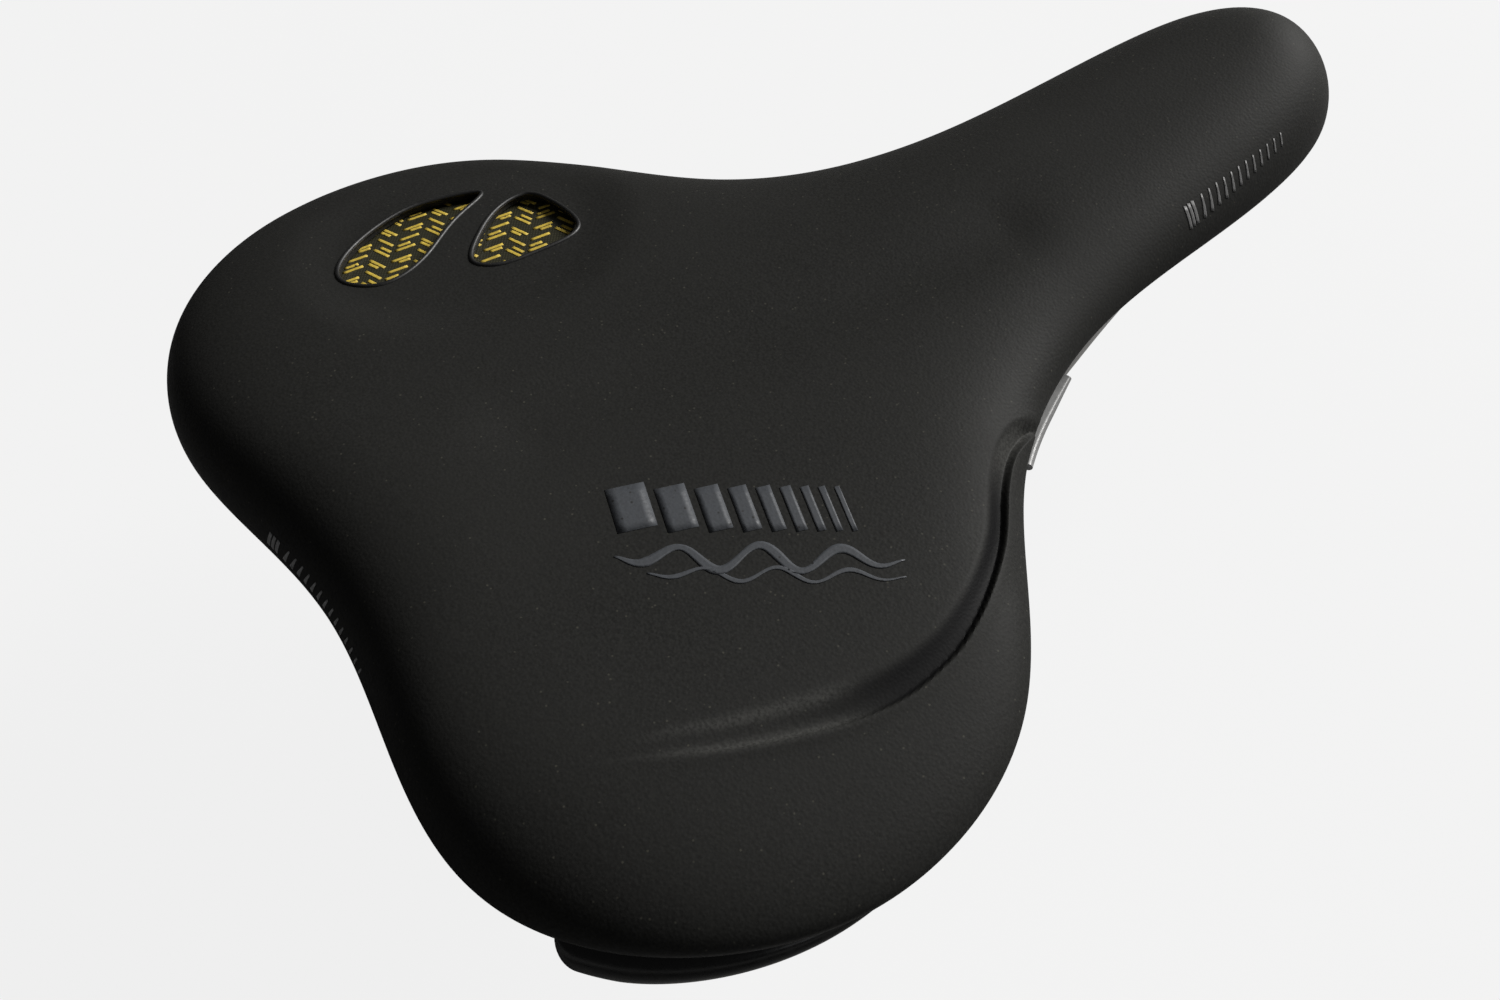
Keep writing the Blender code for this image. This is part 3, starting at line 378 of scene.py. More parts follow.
def nearest_on(path, plan):
    """Signed distance of each plan point from a path, and the row of the path that it is nearest to."""
    nearest = np.full(len(plan), np.inf)
    row = np.zeros(len(plan), int)
    for i, point in enumerate(path[:, :2]):
        distance = np.linalg.norm(plan - point, axis=1)
        closer = distance < nearest
        nearest[closer] = distance[closer]
        row[closer] = i
    along = unit(np.gradient(path[:, :2], axis=0))
    offset = plan - path[row, :2]
    side = offset[:, 0] * along[row, 1] - offset[:, 1] * along[row, 0]
    return side, nearest, row


GROOVE_PATH = open_curve(np.array(GROOVE) * MM, 160)
VALLEY_PATH = open_curve(VALLEY, 60)


def groove_frame(plan):
    """Signed place across the groove, in half widths, the way along it, and how near the point is."""
    side, nearest, row = nearest_on(GROOVE_PATH, plan)
    half = np.maximum(GROOVE_PATH[row, 2], 0.2 * MM)
    return side / half, row / (len(GROOVE_PATH) - 1), nearest / half


def groove_depth(plan):
    """Depth of the groove in the right wing: a soft inner edge, a sloping floor and a crisp outer edge."""
    across, along, nearest = groove_frame(plan)
    return GROOVE_DEPTH * band(across, *GROOVE_ACROSS) * band(along, *GROOVE_ALONG) * (nearest < 2)


def groove_floor_shade(plan):
    """Painted shade on the groove's floor, partly its own darker pressed tone, fading at its tail and hook.
    """
    across, along, nearest = groove_frame(plan)
    return band(across, *GROOVE_SHADE_ACROSS) * band(along, *GROOVE_SHADE_ALONG) * (nearest < 2)


def painted_groove_highlights(plan):
    """Painted highlights: two thin lines at the groove's tail and one broad patch towards its hook."""
    across, along, nearest = groove_frame(plan)
    tail = 0.6 * (bell((across + 1.0) / 0.45) + bell((across - 0.75) / 0.4)) * band(along, *TAIL_HIGHLIGHT_ALONG)
    hook = 0.45 * band(across, *HOOK_HIGHLIGHT_ACROSS) * band(along, *HOOK_HIGHLIGHT_ALONG)
    return np.clip(tail + hook, 0, 1) * (nearest < 2.2)


def groove_lip(plan):
    """Height of the low ridge along the groove's outer side, which fades towards its tail."""
    side, nearest, row = nearest_on(GROOVE_PATH, plan)
    tail = smooth_step(0.02, 0.25, row / (len(GROOVE_PATH) - 1))
    return LIP_HIGH * bell((side - GROOVE_PATH[row, 2]) / LIP_BROAD) * tail * (nearest < 9 * MM)


def dish_depth(plan):
    """Depth of the shallow oval dish round both windows."""
    offset = plan - np.array(BADGE_CENTRE) - np.array((1.5 * MM, 3.0 * MM))
    x = offset[:, 0] * math.cos(DISH_TURN) + offset[:, 1] * math.sin(DISH_TURN)
    y = offset[:, 1] * math.cos(DISH_TURN) - offset[:, 0] * math.sin(DISH_TURN)
    reach = np.hypot(x / DISH_RADII[0], y / DISH_RADII[1])
    return DISH_DEPTH * (1 - smooth_step(1 - DISH_EDGE, 1 + DISH_EDGE, reach))


def valley_depth(plan):
    nearest = nearest_on(VALLEY_PATH, plan)[1]
    return VALLEY_DEPTH * bell(nearest / VALLEY_SPREAD)


def pressed_depth(plan):
    """How far the cover's outside lies under the plain crown."""
    return groove_depth(plan) - groove_lip(plan) + dish_depth(plan) + valley_depth(plan)


# -------- making meshes

PARTS = bpy.data.collections.new("saddle_looks")
bpy.context.scene.collection.children.link(PARTS)


def add_piece(name, bm, finish, sharp=40):
    """The finished mesh as an object at the origin, shaded smooth but for its sharp edges."""
    mesh = bpy.data.meshes.new(name)
    bm.to_mesh(mesh)
    bm.free()
    mesh.shade_smooth()
    mesh.set_sharp_from_angle(angle=math.radians(sharp))
    mesh.materials.append(finish)
    piece = bpy.data.objects.new(name, mesh)
    PARTS.objects.link(piece)
    return piece


def settle(piece, body, slot, *nodes):
    """The piece rides on its body and stands for the frame's nodes, if any; its slot is not used."""
    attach(piece, body)
    if nodes:
        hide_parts(*nodes)


def moved_grid(bm, columns, rows, surface):
    """A grid in the bmesh whose points go where surface(u, v) says, u and v from 0 to 1."""
    made = bmesh.ops.create_grid(bm, x_segments=columns, y_segments=rows, size=1)
    verts = made["verts"]
    flat = np.array([vert.co.xy for vert in verts]) / 2 + 0.5
    for vert, place in zip(verts, surface(flat[:, 0], flat[:, 1])):
        vert.co = place
    return verts


def close_seams(bm):
    bmesh.ops.remove_doubles(bm, verts=bm.verts, dist=MERGE)
    bmesh.ops.recalc_face_normals(bm, faces=bm.faces)


def face_up(bm):
    """Turns an open sheet over if its highest face looks down."""
    bm.faces.ensure_lookup_table()
    highest = max(bm.faces, key=lambda face: face.calc_center_median().z)
    if highest.normal.z < 0:
        bmesh.ops.reverse_faces(bm, faces=bm.faces)


def paint(piece, name, strength):
    """Stores strength(plan) on every point of the piece, for its finish to read."""
    points = np.zeros(3 * len(piece.data.vertices), np.float32)
    piece.data.vertices.foreach_get("co", points)
    values = strength(points.reshape(-1, 3)[:, :2].astype(float)).astype(np.float32)
    piece.data.attributes.new(name, "FLOAT", "POINT").data.foreach_set("value", values)


def keep_modifiers(piece):
    """Makes the piece's modifiers part of its mesh."""
    graph = bpy.context.evaluated_depsgraph_get()
    mesh = bpy.data.meshes.new_from_object(piece.evaluated_get(graph))
    piece.modifiers.clear()
    piece.data = mesh


def thicken(piece, depth):
    """Gives an open sheet its wall, inwards, as part of its mesh."""
    wall = piece.modifiers.new("wall", "SOLIDIFY")
    wall.thickness = depth
    wall.offset = -1
    keep_modifiers(piece)


def close_ends(bm):
    bmesh.ops.holes_fill(bm, edges=[edge for edge in bm.edges if edge.is_boundary])


def round_edges(bm, edges, radius):
    bmesh.ops.bevel(bm, geom=edges, offset=radius, segments=3, affect="EDGES", profile=0.5, material=-1)


def spun(bm, profile, centre, steps):
    """A closed profile of (radius, height) points, spun about the vertical through centre."""
    before = set(bm.verts)
    verts = [bm.verts.new((radius, 0, height)) for radius, height in profile]
    edges = [bm.edges.new(pair) for pair in zip(verts, verts[1:] + verts[:1])]
    bmesh.ops.spin(
        bm, geom=verts + edges, cent=(0, 0, 0), axis=UP, angle=2 * math.pi, steps=steps, use_merge=True
    )
    bmesh.ops.translate(bm, verts=[vert for vert in bm.verts if vert not in before], vec=centre)


def tube(bm, path, radius, sides, closed=False):
    """A round tube along a path: a grid rolled round it, with its seam and ends closed."""
    path = np.array(path, float)
    if closed:
        path = np.vstack([path, path[:1]])
        along = np.gradient(np.vstack([path[-2], path, path[1]]), axis=0)[1:-1]
    else:
        along = np.gradient(path, axis=0)
    along = unit(along)
    ups = np.tile((0.0, 0.0, 1.0), (len(path), 1)) if closed else carried_up(along)
    side = unit(np.cross(along, ups))
    up = np.cross(side, along)

    def rolled(u, v):
        row = np.rint(v * (len(path) - 1)).astype(int)
        turn = (2 * math.pi * u)[:, None]
        return path[row] + radius * (np.cos(turn) * side[row] + np.sin(turn) * up[row])

    verts = moved_grid(bm, sides, len(path) - 1, rolled)
    bmesh.ops.remove_doubles(bm, verts=verts, dist=MERGE)
    if not closed:
        close_ends(bm)


def carried_up(along):
    """An upward direction for each step of a path, carried along so that a tube never twists."""
    ups = np.zeros_like(along)
    up = np.array((0.0, 0.0, 1.0)) if abs(along[0][2]) < 0.9 else np.array((1.0, 0.0, 0.0))
    for i, direction in enumerate(along):
        up = up - direction * np.dot(up, direction)
        up /= np.linalg.norm(up)
        ups[i] = up
    return ups


# -------- finishes


class NodeTree:
    """A node tree with short calls that add its nodes and join them."""

    def __init__(self, tree):
        self.tree = tree

    def feed(self, socket, value):
        if isinstance(value, bpy.types.NodeSocket):
            self.tree.links.new(value, socket)
        else:
            socket.default_value = value

    def add(self, kind, inputs=(), **settings):
        node = self.tree.nodes.new("ShaderNode" + kind)
        for name, value in settings.items():
            setattr(node, name, value)
        for key, value in dict(inputs).items():
            self.feed(node.inputs[key], value)
        return node

    def maths(self, operation, first, second):
        return self.add("Math", {0: first, 1: second}, operation=operation).outputs[0]

    def between(self, value, low, high, to_low=0.0, to_high=1.0):
        """The value's place between low and high, clamped, and spread over the new range."""
        steps = {"Value": value, "From Min": low, "From Max": high, "To Min": to_low, "To Max": to_high}
        return self.add("MapRange", steps).outputs["Result"]

    def mixed(self, share, first, second):
        node = self.add("Mix", data_type="RGBA")
        self.feed(node.inputs["Factor"], share)
        self.feed(node.inputs[6], first)
        self.feed(node.inputs[7], second)
        return node.outputs[2]

    def place(self):
        return self.add("TexCoord").outputs["Object"]

    def group(self, name, **values):
        node = self.add("Group")
        node.node_tree = bpy.data.node_groups[name]
        for key, value in values.items():
            self.feed(node.inputs[key], value)
        return node.outputs


def new_group(name, inputs, outputs, wire):
    """A shared effect: wire(tree, inputs) gives the socket or value for each output."""
    group = bpy.data.node_groups.new(name, "ShaderNodeTree")
    for label, default in inputs.items():
        socket = group.interface.new_socket(label, in_out="INPUT", socket_type="NodeSocketFloat")
        socket.default_value = default
    for label in outputs:
        group.interface.new_socket(label, in_out="OUTPUT", socket_type="NodeSocketFloat")
    tree = NodeTree(group)
    entry = group.nodes.new("NodeGroupInput")
    leave = group.nodes.new("NodeGroupOutput")
    for label, value in wire(tree, entry.outputs).items():
        tree.feed(leave.inputs[label], value)


def wire_cloud(tree, given):
    """Slow, uneven variation."""
    noise = tree.add("TexNoise", {"Vector": tree.place(), "Scale": given["Scale"], "Detail": 4.0})
    return {"Value": tree.between(noise.outputs["Fac"], 0.32, 0.68)}


def wire_grain(tree, given):
    """Fine pebbled grain: cells with rounded tops, broken up by noise."""
    place = tree.place()
    bent = tree.add("TexNoise", {"Vector": place, "Scale": given["Scale"], "Detail": 3.0})
    cells = tree.add("TexVoronoi", {"Vector": place, "Scale": given["Scale"], "Randomness": 1.0},
                     feature="SMOOTH_F1")
    tops = tree.between(cells.outputs["Distance"], 0.1, 0.75, 1.0, 0.0)
    return {"Height": tree.maths("MULTIPLY", tops, 0.6), "Tone": bent.outputs["Fac"]}


def wire_specks(tree, given):
    """Sparse small dots: only cells whose random value is under Share carry one."""
    cells = tree.add("TexVoronoi", {"Vector": tree.place(), "Scale": given["Scale"]})
    dot = tree.between(cells.outputs["Distance"], 0.12, 0.3, 1.0, 0.0)
    chosen = tree.add("SeparateColor", {"Color": cells.outputs["Color"]}).outputs["Red"]
    return {"Mask": tree.maths("MULTIPLY", dot, tree.maths("LESS_THAN", chosen, given["Share"]))}


def wire_wear(tree, given):
    """Rubbed edges: strongest where the surface turns sharply, and broken up."""
    turn = tree.add("NewGeometry").outputs["Pointiness"]
    edge = tree.between(turn, 0.52, 0.62)
    noise = tree.add("TexNoise", {"Vector": tree.place(), "Scale": given["Scale"], "Detail": 5.0})
    broken = tree.between(noise.outputs["Fac"], 0.4, 0.62)
    return {"Mask": tree.maths("MULTIPLY", tree.maths("MULTIPLY", edge, broken), given["Amount"])}


def wire_drawn(tree, given):
    """Fine lines along Y, as drawn wire and rolled plate have."""
    stretched = tree.add("Mapping", {"Vector": tree.place(), "Scale": (1.0, 0.04, 1.0)})
    noise = tree.add("TexNoise", {"Vector": stretched.outputs[0], "Scale": given["Scale"], "Detail": 3.0})
    return {"Lines": noise.outputs["Fac"]}


def wire_cells(tree, given):
    """Open foam: a net of thin walls round bubbles."""
    cells = tree.add("TexVoronoi", {"Vector": tree.place(), "Scale": given["Scale"]},
                     feature="DISTANCE_TO_EDGE")
    return {"Walls": tree.between(cells.outputs["Distance"], 0.02, 0.16, 1.0, 0.0)}


new_group("cloud", {"Scale": 30.0}, ["Value"], wire_cloud)
new_group("grain", {"Scale": 1500.0}, ["Height", "Tone"], wire_grain)
new_group("specks", {"Scale": 400.0, "Share": 0.1}, ["Mask"], wire_specks)
new_group("wear", {"Scale": 300.0, "Amount": 0.5}, ["Mask"], wire_wear)
new_group("drawn", {"Scale": 900.0}, ["Lines"], wire_drawn)
new_group("cells", {"Scale": 900.0}, ["Walls"], wire_cells)


class Finish(NodeTree):
    """A new material, with what is the same all over it set on the shader itself."""

    def __init__(self, name, **constants):
        self.material = bpy.data.materials.new(name)
        self.material.use_nodes = True
        super().__init__(self.material.node_tree)
        self.shader = self.tree.nodes["Principled BSDF"]
        for label, value in constants.items():
            self.shader.inputs[label.replace("_", " ")].default_value = value

    def cloud(self, scale):
        return self.group("cloud", Scale=scale)["Value"]

    def grain(self, scale):
        return self.group("grain", Scale=scale)

    def specks(self, scale, share):
        return self.group("specks", Scale=scale, Share=share)["Mask"]

    def wear(self, scale, amount):
        return self.group("wear", Scale=scale, Amount=amount)["Mask"]

    def painted(self, name):
        return self.add("Attribute", attribute_name=name).outputs["Fac"]

    def finished(self, colour, roughness, height, strength, distance):
        """The material, with its colour, its roughness and the relief that height gives."""
        bump = self.add("Bump", {"Height": height, "Strength": strength, "Distance": distance})
        self.feed(self.shader.inputs["Base Color"], colour)
        self.feed(self.shader.inputs["Roughness"], roughness)
        self.feed(self.shader.inputs["Normal"], bump.outputs["Normal"])
        return self.material


def grey(value, warm=0.0):
    return (value * (1 + warm), value, value * (1 - warm), 1)


COVER_GRAIN = 1700.0


def soft_touch_finish():
    """Matte coated fabric of the top: near black, a trace of olive, fine grain and stray light specks, with
    painted shade on the groove's floor and painted highlights at its tail and hook.
    """
    finish = Finish("soft_touch_black", Specular_IOR_Level=0.10)
    cloud = finish.cloud(22.0)
    fine = finish.grain(COVER_GRAIN)
    coat = finish.mixed(cloud, (0.0170, 0.0170, 0.0160, 1), (0.0215, 0.0215, 0.0203, 1))
    grained = finish.mixed(finish.between(fine["Tone"], 0.35, 0.65), coat, (0.0265, 0.0265, 0.0250, 1))
    flecked = finish.mixed(finish.specks(1100.0, 0.05), grained, (0.062, 0.060, 0.050, 1))
    # Painted shade: the groove's floor darkened, partly its own darker pressed tone
    groove_shaded = finish.mixed(finish.painted("pressed"), flecked, (0.0050, 0.0050, 0.0055, 1))
    # Painted highlights: lighter lines at the groove's tail and a lighter patch towards its hook
    broken = finish.between(fine["Tone"], 0.35, 0.6, 0.35, 1.0)
    groove_highlight = finish.maths("MULTIPLY", finish.painted("ridge"), broken)
    colour = finish.mixed(groove_highlight, groove_shaded, (0.085, 0.085, 0.080, 1))
    roughness = finish.between(cloud, 0, 1, 0.56, 0.66)
    return finish.finished(colour, roughness, fine["Height"], 0.35, 0.12 * MM)


def print_finish(name, ink, worn):
    """Ink pressed on to the grained cover, so the grain shows through and the ink is a little uneven."""
    finish = Finish(name, Specular_IOR_Level=0.3)
    fine = finish.grain(COVER_GRAIN)
    tone = finish.mixed(finish.between(fine["Tone"], 0.3, 0.7), ink, worn)
    colour = finish.mixed(finish.specks(900.0, 0.12), tone, grey(0.03))
    roughness = finish.between(fine["Tone"], 0.3, 0.7, 0.42, 0.6)
    return finish.finished(colour, roughness, fine["Height"], 0.25, 0.1 * MM)


def moulded_finish(name, low, high, roughness, grain=900.0):
    """Moulded plastic: fine spark texture, slow tone changes, edges rubbed lighter."""
    finish = Finish(name)
    fine = finish.grain(grain)
    base = finish.mixed(finish.cloud(45.0), grey(low), grey(high))
    colour = finish.mixed(finish.wear(350.0, 0.5), base, grey(high * 2.6))
    uneven = finish.between(fine["Tone"], 0.3, 0.7, roughness - 0.06, roughness + 0.08)
    return finish.finished(colour, uneven, fine["Height"], 0.2, 0.08 * MM)


def rubber_finish():
    finish = Finish("spring_rubber", Specular_IOR_Level=0.35)
    cloud = finish.cloud(80.0)
    base = finish.mixed(cloud, grey(0.011), grey(0.019))
    dusty = finish.mixed(finish.specks(800.0, 0.25), base, grey(0.06, 0.1))
    roughness = finish.between(cloud, 0, 1, 0.62, 0.8)
    return finish.finished(dusty, roughness, finish.grain(1300.0)["Height"], 0.3, 0.1 * MM)


def steel_finish(name, tone, roughness, scale=900.0):
    """Plated steel with fine drawn lines, slow stains and brighter rubbed edges."""
    finish = Finish(name, Metallic=1.0)
    lines = finish.group("drawn", Scale=scale)["Lines"]
    base = finish.mixed(finish.cloud(70.0), grey(tone * 0.86, 0.02), grey(tone, 0.01))
    colour = finish.mixed(finish.wear(400.0, 0.6), base, grey(min(0.85, tone * 1.3)))
    uneven = finish.between(lines, 0.3, 0.7, roughness - 0.05, roughness + 0.1)
    return finish.finished(colour, uneven, lines, 0.12, 0.03 * MM)


def painted_steel_finish():
    """Black baked enamel over steel, with orange peel and chipped edges that show the metal."""
    finish = Finish("black_enamel")
    peel = finish.cloud(380.0)
    worn = finish.wear(500.0, 0.8)
    base = finish.mixed(finish.cloud(60.0), grey(0.012), grey(0.018))
    finish.feed(finish.shader.inputs["Metallic"], worn)
    colour = finish.mixed(worn, base, grey(0.32))
    return finish.finished(colour, finish.between(peel, 0, 1, 0.26, 0.36), peel, 0.15, 0.05 * MM)


def foam_finish():
    finish = Finish("moulded_foam", Specular_IOR_Level=0.2)
    walls = finish.group("cells", Scale=1100.0)["Walls"]
    base = finish.mixed(finish.cloud(50.0), (0.42, 0.38, 0.27, 1), (0.52, 0.48, 0.36, 1))
    return finish.finished(finish.mixed(walls, base, (0.62, 0.58, 0.46, 1)), 0.95, walls, 0.5, 0.2 * MM)


def gel_finish():
    """Soft clear gel, tinted amber, with small bubbles and a skin that ripples slightly."""
    finish = Finish("amber_gel", Transmission_Weight=0.35, IOR=1.42)
    cloud = finish.cloud(90.0)
    base = finish.mixed(cloud, (0.50, 0.34, 0.06, 1), (0.62, 0.45, 0.10, 1))
    colour = finish.mixed(finish.specks(500.0, 0.3), base, (0.85, 0.75, 0.42, 1))
    return finish.finished(colour, finish.between(cloud, 0, 1, 0.12, 0.24), cloud, 0.15, 0.3 * MM)


def badge_finish():
    """Glossy olive insert behind the windows, with a fine woven backing that shows through."""
    finish = Finish("olive_insert", Coat_Weight=0.5, Coat_Roughness=0.15)
    turned = finish.add("Mapping", {"Vector": finish.place(), "Rotation": (0.0, 0.0, math.radians(38))})
    inputs = {"Vector": turned.outputs[0], "Scale": 520.0}
    weave, across = (finish.add("TexWave", inputs, bands_direction=way).outputs["Fac"] for way in "XY")
    net = finish.maths("MULTIPLY", weave, across)
    colour = finish.mixed(net, (0.028, 0.027, 0.016, 1), (0.066, 0.063, 0.038, 1))
    return finish.finished(colour, finish.between(net, 0, 1, 0.3, 0.42), net, 0.3, 0.06 * MM)


SOFT_TOUCH = soft_touch_finish()
HEM = moulded_finish("window_hem", 0.010, 0.014, 0.45, 1500.0)
WING_INK = print_finish("wing_ink", (0.082, 0.088, 0.098, 1), (0.058, 0.062, 0.069, 1))
NOSE_INK = print_finish("nose_ink", grey(0.19), grey(0.12))
# The rear print's ink is a brighter copy of the nose print's ink: painted light that offsets the shade on
# the rear slope.
REAR_INK_PAINTED_LIGHT = print_finish("rear_ink_painted_light", grey(0.50), grey(0.32))
YELLOW_INK = print_finish("yellow_ink", (0.80, 0.58, 0.09, 1), (0.55, 0.41, 0.07, 1))
OLIVE = badge_finish()
BASE_BLACK = moulded_finish("base_black", 0.016, 0.023, 0.42)
BUMPER_BLACK = moulded_finish("bumper_black", 0.009, 0.013, 0.27, 700.0)
STRIP_GREY = moulded_finish("strip_grey", 0.20, 0.25, 0.30, 1100.0)
RUBBER = rubber_finish()
RAIL_STEEL = steel_finish("rail_steel", 0.62, 0.24)
ENAMEL = painted_steel_finish()
CLAMP_STEEL = steel_finish("clamp_steel", 0.42, 0.36, 600.0)
ZINC = steel_finish("zinc_steel", 0.66, 0.30, 1400.0)
FOAM = foam_finish()
GEL = gel_finish()


# -------- the padded top

AROUND = 448
CROWN_ROWS = 66
SKIRT_ROWS = 8
CROWN_PART = CROWN_ROWS / (CROWN_ROWS + SKIRT_ROWS)  # the rest of v is the turned-in edge
FINE_REACH = 5.5 * MM  # finer faces this near the groove


def cover_surface(u, v):
    """Outside of the cover: the plain crown, then the edge that turns in."""
    rim = Rim(even_index(u))
    crown = rim.crown(share_at(v / CROWN_PART), 0, rim.edge, lambda plan: 0)
    down = np.clip((v - CROWN_PART) / (1 - CROWN_PART), 0, 1)
    plan = rim.outer - rim.out * (TUCK * down**2)[:, None]
    skirt = np.column_stack([plan, rim.edge - rim.skirt * down])
    return np.where((v <= CROWN_PART)[:, None], crown, skirt)


def refine_near_groove(bm):
    middles = np.array([face.calc_center_median().xy for face in bm.faces])
    near = nearest_on(GROOVE_PATH, middles)[1] < FINE_REACH
    edges = {edge for face, fine in zip(bm.faces, near) if fine for edge in face.edges}
    bmesh.ops.subdivide_edges(bm, edges=list(edges), cuts=2, use_grid_fill=True)


def press(bm):
    """Sinks the groove, the dish and the valley into the crown, square to its surface."""
    bm.normal_update()
    points = np.array([vert.co for vert in bm.verts])
    normals = np.array([vert.normal for vert in bm.verts])
    depth = pressed_depth(points[:, :2]) * smooth_step(0.02, 0.25, normals[:, 2])
    for vert, place in zip(bm.verts, points - normals * depth[:, None]):
        vert.co = place


def cover_bmesh():
    bm = bmesh.new()
    moved_grid(bm, AROUND, CROWN_ROWS + SKIRT_ROWS, cover_surface)
    close_seams(bm)
    face_up(bm)
    refine_near_groove(bm)
    press(bm)
    return bm


COVER_SHEET = cover_bmesh()
COVER_TREE = BVHTree.FromBMesh(COVER_SHEET)


def landed(point, direction=DOWN, lift=0.0):
    """Where a straight line in this direction through the point meets the cover, lifted off it."""
    start = Vector(point) - direction * 0.5
    hit, normal, _, _ = COVER_TREE.ray_cast(start, direction)
    return hit + normal * lift


def height(x, y):
    return landed((x, y, 0)).z


def window_outline(points, steps):
    placed = [(BADGE_CENTRE[0] + x * MM, BADGE_CENTRE[1] + y * MM) for x, y in points]
    return ClosedSpline(placed).at(np.arange(steps * len(points)) / steps)


def window_cutter(name, points):
    bm = bmesh.new()
    outline = window_outline(points, 10)
    face = bm.faces.new([bm.verts.new((x, y, MIDDLE_TOP / 2)) for x, y in outline])
    raised = bmesh.ops.extrude_face_region(bm, geom=[face])["geom"]
    moved = [item for item in raised if isinstance(item, bmesh.types.BMVert)]
    bmesh.ops.translate(bm, verts=moved, vec=UP * REAR_TOP)
    bmesh.ops.recalc_face_normals(bm, faces=bm.faces)
    return add_piece(name, bm, SOFT_TOUCH)


def make_cover():
    """The skin, 2 mm thick, with both windows cut and a moulded hem round each."""
    cover = add_piece("saddle_cover", COVER_SHEET, SOFT_TOUCH)
    thicken(cover, COVER_WALL)
    for name, points in (("leaf", LEAF), ("drop", DROP)):
        cutter = window_cutter(f"{name}_cutter", points)
        cut = cover.modifiers.new(name, "BOOLEAN")
        cut.object = cutter
        cut.solver = "MANIFOLD"
        keep_modifiers(cover)
        bpy.data.objects.remove(cutter, do_unlink=True)
        make_hem(name, points)
    cover.data.shade_smooth()
    cover.data.set_sharp_from_angle(angle=math.radians(55))
    # Mask of the painted shade on the groove's floor, partly its own darker pressed tone
    paint(cover, "pressed", groove_floor_shade)
    # Mask of the painted highlights at the groove's tail and towards its hook
    paint(cover, "ridge", painted_groove_highlights)
    settle(cover, "seat_top", "cover_skin", "cover")


def make_hem(name, points):
    """A fine welded rib that runs round a window's edge."""
    path = [landed((x, y, 0), lift=-0.1 * MM) for x, y in window_outline(points, 10)]
    bm = bmesh.new()
    tube(bm, path, HEM_RADIUS, 12, closed=True)
    close_seams(bm)
    settle(add_piece(f"{name}_window_hem", bm, HEM), "seat_top", "cover_skin")


def gel_dip(plan):
    """Depth of the pockets for both gel pads."""
    centre, radii = middle_and_radii("gel_pad_right")
    reach = np.hypot((np.abs(plan[:, 0]) - centre.x) / radii.x, (plan[:, 1] - centre.y) / radii.y)
    return (GEL_THICK + 2 * GAP) * (1 - smooth_step(1.0, 1.06, reach))


def make_foam():
    """The cushion: u runs round it, v out along its top and back along its underside."""
    depth = COVER_WALL + 2 * GAP
    bm = bmesh.new()

    def surface(u, v):
        rim = Rim(even_index(u))
        top = rim.crown(share_at(2 * v), depth, rim.edge - depth / 2, lambda plan: depth)
        top[:, 2] -= gel_dip(top[:, :2]) + dish_depth(top[:, :2]) + valley_depth(top[:, :2])
        edge = rim.shell_edge() + 2 * GAP
        share = share_at(2 - 2 * v)
        under = rim.crown(share, SHELL_INSET, edge, lambda plan: padding_depth(plan[:, 1]) - 2 * GAP)
        return np.where((v <= 0.5)[:, None], top, under)

    moved_grid(bm, 192, 96, surface)
    close_seams(bm)
    foam = add_piece("foam_cushion", bm, FOAM, 60)
    settle(foam, "seat_top", "foam", "foam_pad")


def oval_pad(name, node, top, thick, finish, swell):
    """A soft oval plate that follows the cover's outside at a depth under it, with a rounded edge."""
    centre, radii = middle_and_radii(node)
    bm = bmesh.new()

    def surface(u, v):
        angle = 2 * math.pi * u
        across = np.sin(v * math.pi)
        points = []
        for a, share, side in zip(angle, across, v):
            x = centre.x + radii.x * share * math.cos(a)
            y = centre.y + radii.y * share * math.sin(a)
            round_off = thick / 2 * (1 - (1 - share**swell) ** (1 / swell))
            depth = top + round_off if side < 0.5 else top + thick - round_off
            points.append((x, y, height(x, y) - depth))
        return points

    moved_grid(bm, 72, 40, surface)
    close_seams(bm)
    return add_piece(name, bm, finish, 60)


def make_gel():
    for side, _ in SIDES:
        node = f"gel_pad_{side}"
        gel = oval_pad(f"gel_cushion_{side}", node, COVER_WALL + 1.5 * GAP, GEL_THICK, GEL, 6)
        settle(gel, "seat_top", "gel", node)


# -------- badge behind the windows

STROKE = 0.75 * MM
PRINT_THICK = 0.16 * MM
COLUMN_STEP = 4.9 * MM
SIGN_STEP = 3.9 * MM
SIGN_HIGH = 3.6 * MM
SIGN_TURN = math.radians(52)
SIGNS_REACH = (19.0 * MM, 29.0 * MM)
SIGN_LIFT = 0.12 * MM
# Each sign is a few strokes, from -1 to 1 across and along the column
SIGNS = (
    (((-0.9, -0.9), (0.9, 0.5)),),
    (((-0.9, -0.9), (0.9, 0.5)), ((-0.9, 0.0), (0.3, 0.95))),
    (((-0.9, -0.9), (0.9, 0.5)), ((-0.2, -1.0), (0.9, -0.2))),
)


def ribbon(bm, path, widths, lift, place, direction=DOWN):
    """A raised flat stroke on the cover: path points with a width at each, landed on the surface."""
    rows = max(6, len(path))
    line = open_curve(path, rows) if len(path) > 2 else np.linspace(path[0], path[-1], rows)
    broad = np.interp(np.linspace(0, 1, rows), np.linspace(0, 1, len(widths)), widths)
    along = unit(np.gradient(line, axis=0))
    across = np.column_stack([along[:, 1], -along[:, 0]])

    def surface(u, v):
        row = np.rint(v * (rows - 1)).astype(int)
        flat = line[row] + across[row] * (broad[row] * (u - 0.5))[:, None]
        return [landed(place(a, b), direction, lift) for a, b in flat]

    verts = moved_grid(bm, 4, rows - 1, surface)
    faces = list({face for vert in verts for face in vert.link_faces})
    bmesh.ops.recalc_face_normals(bm, faces=faces)
    if sum(face.normal.dot(direction) for face in faces) > 0:
        bmesh.ops.reverse_faces(bm, faces=faces)


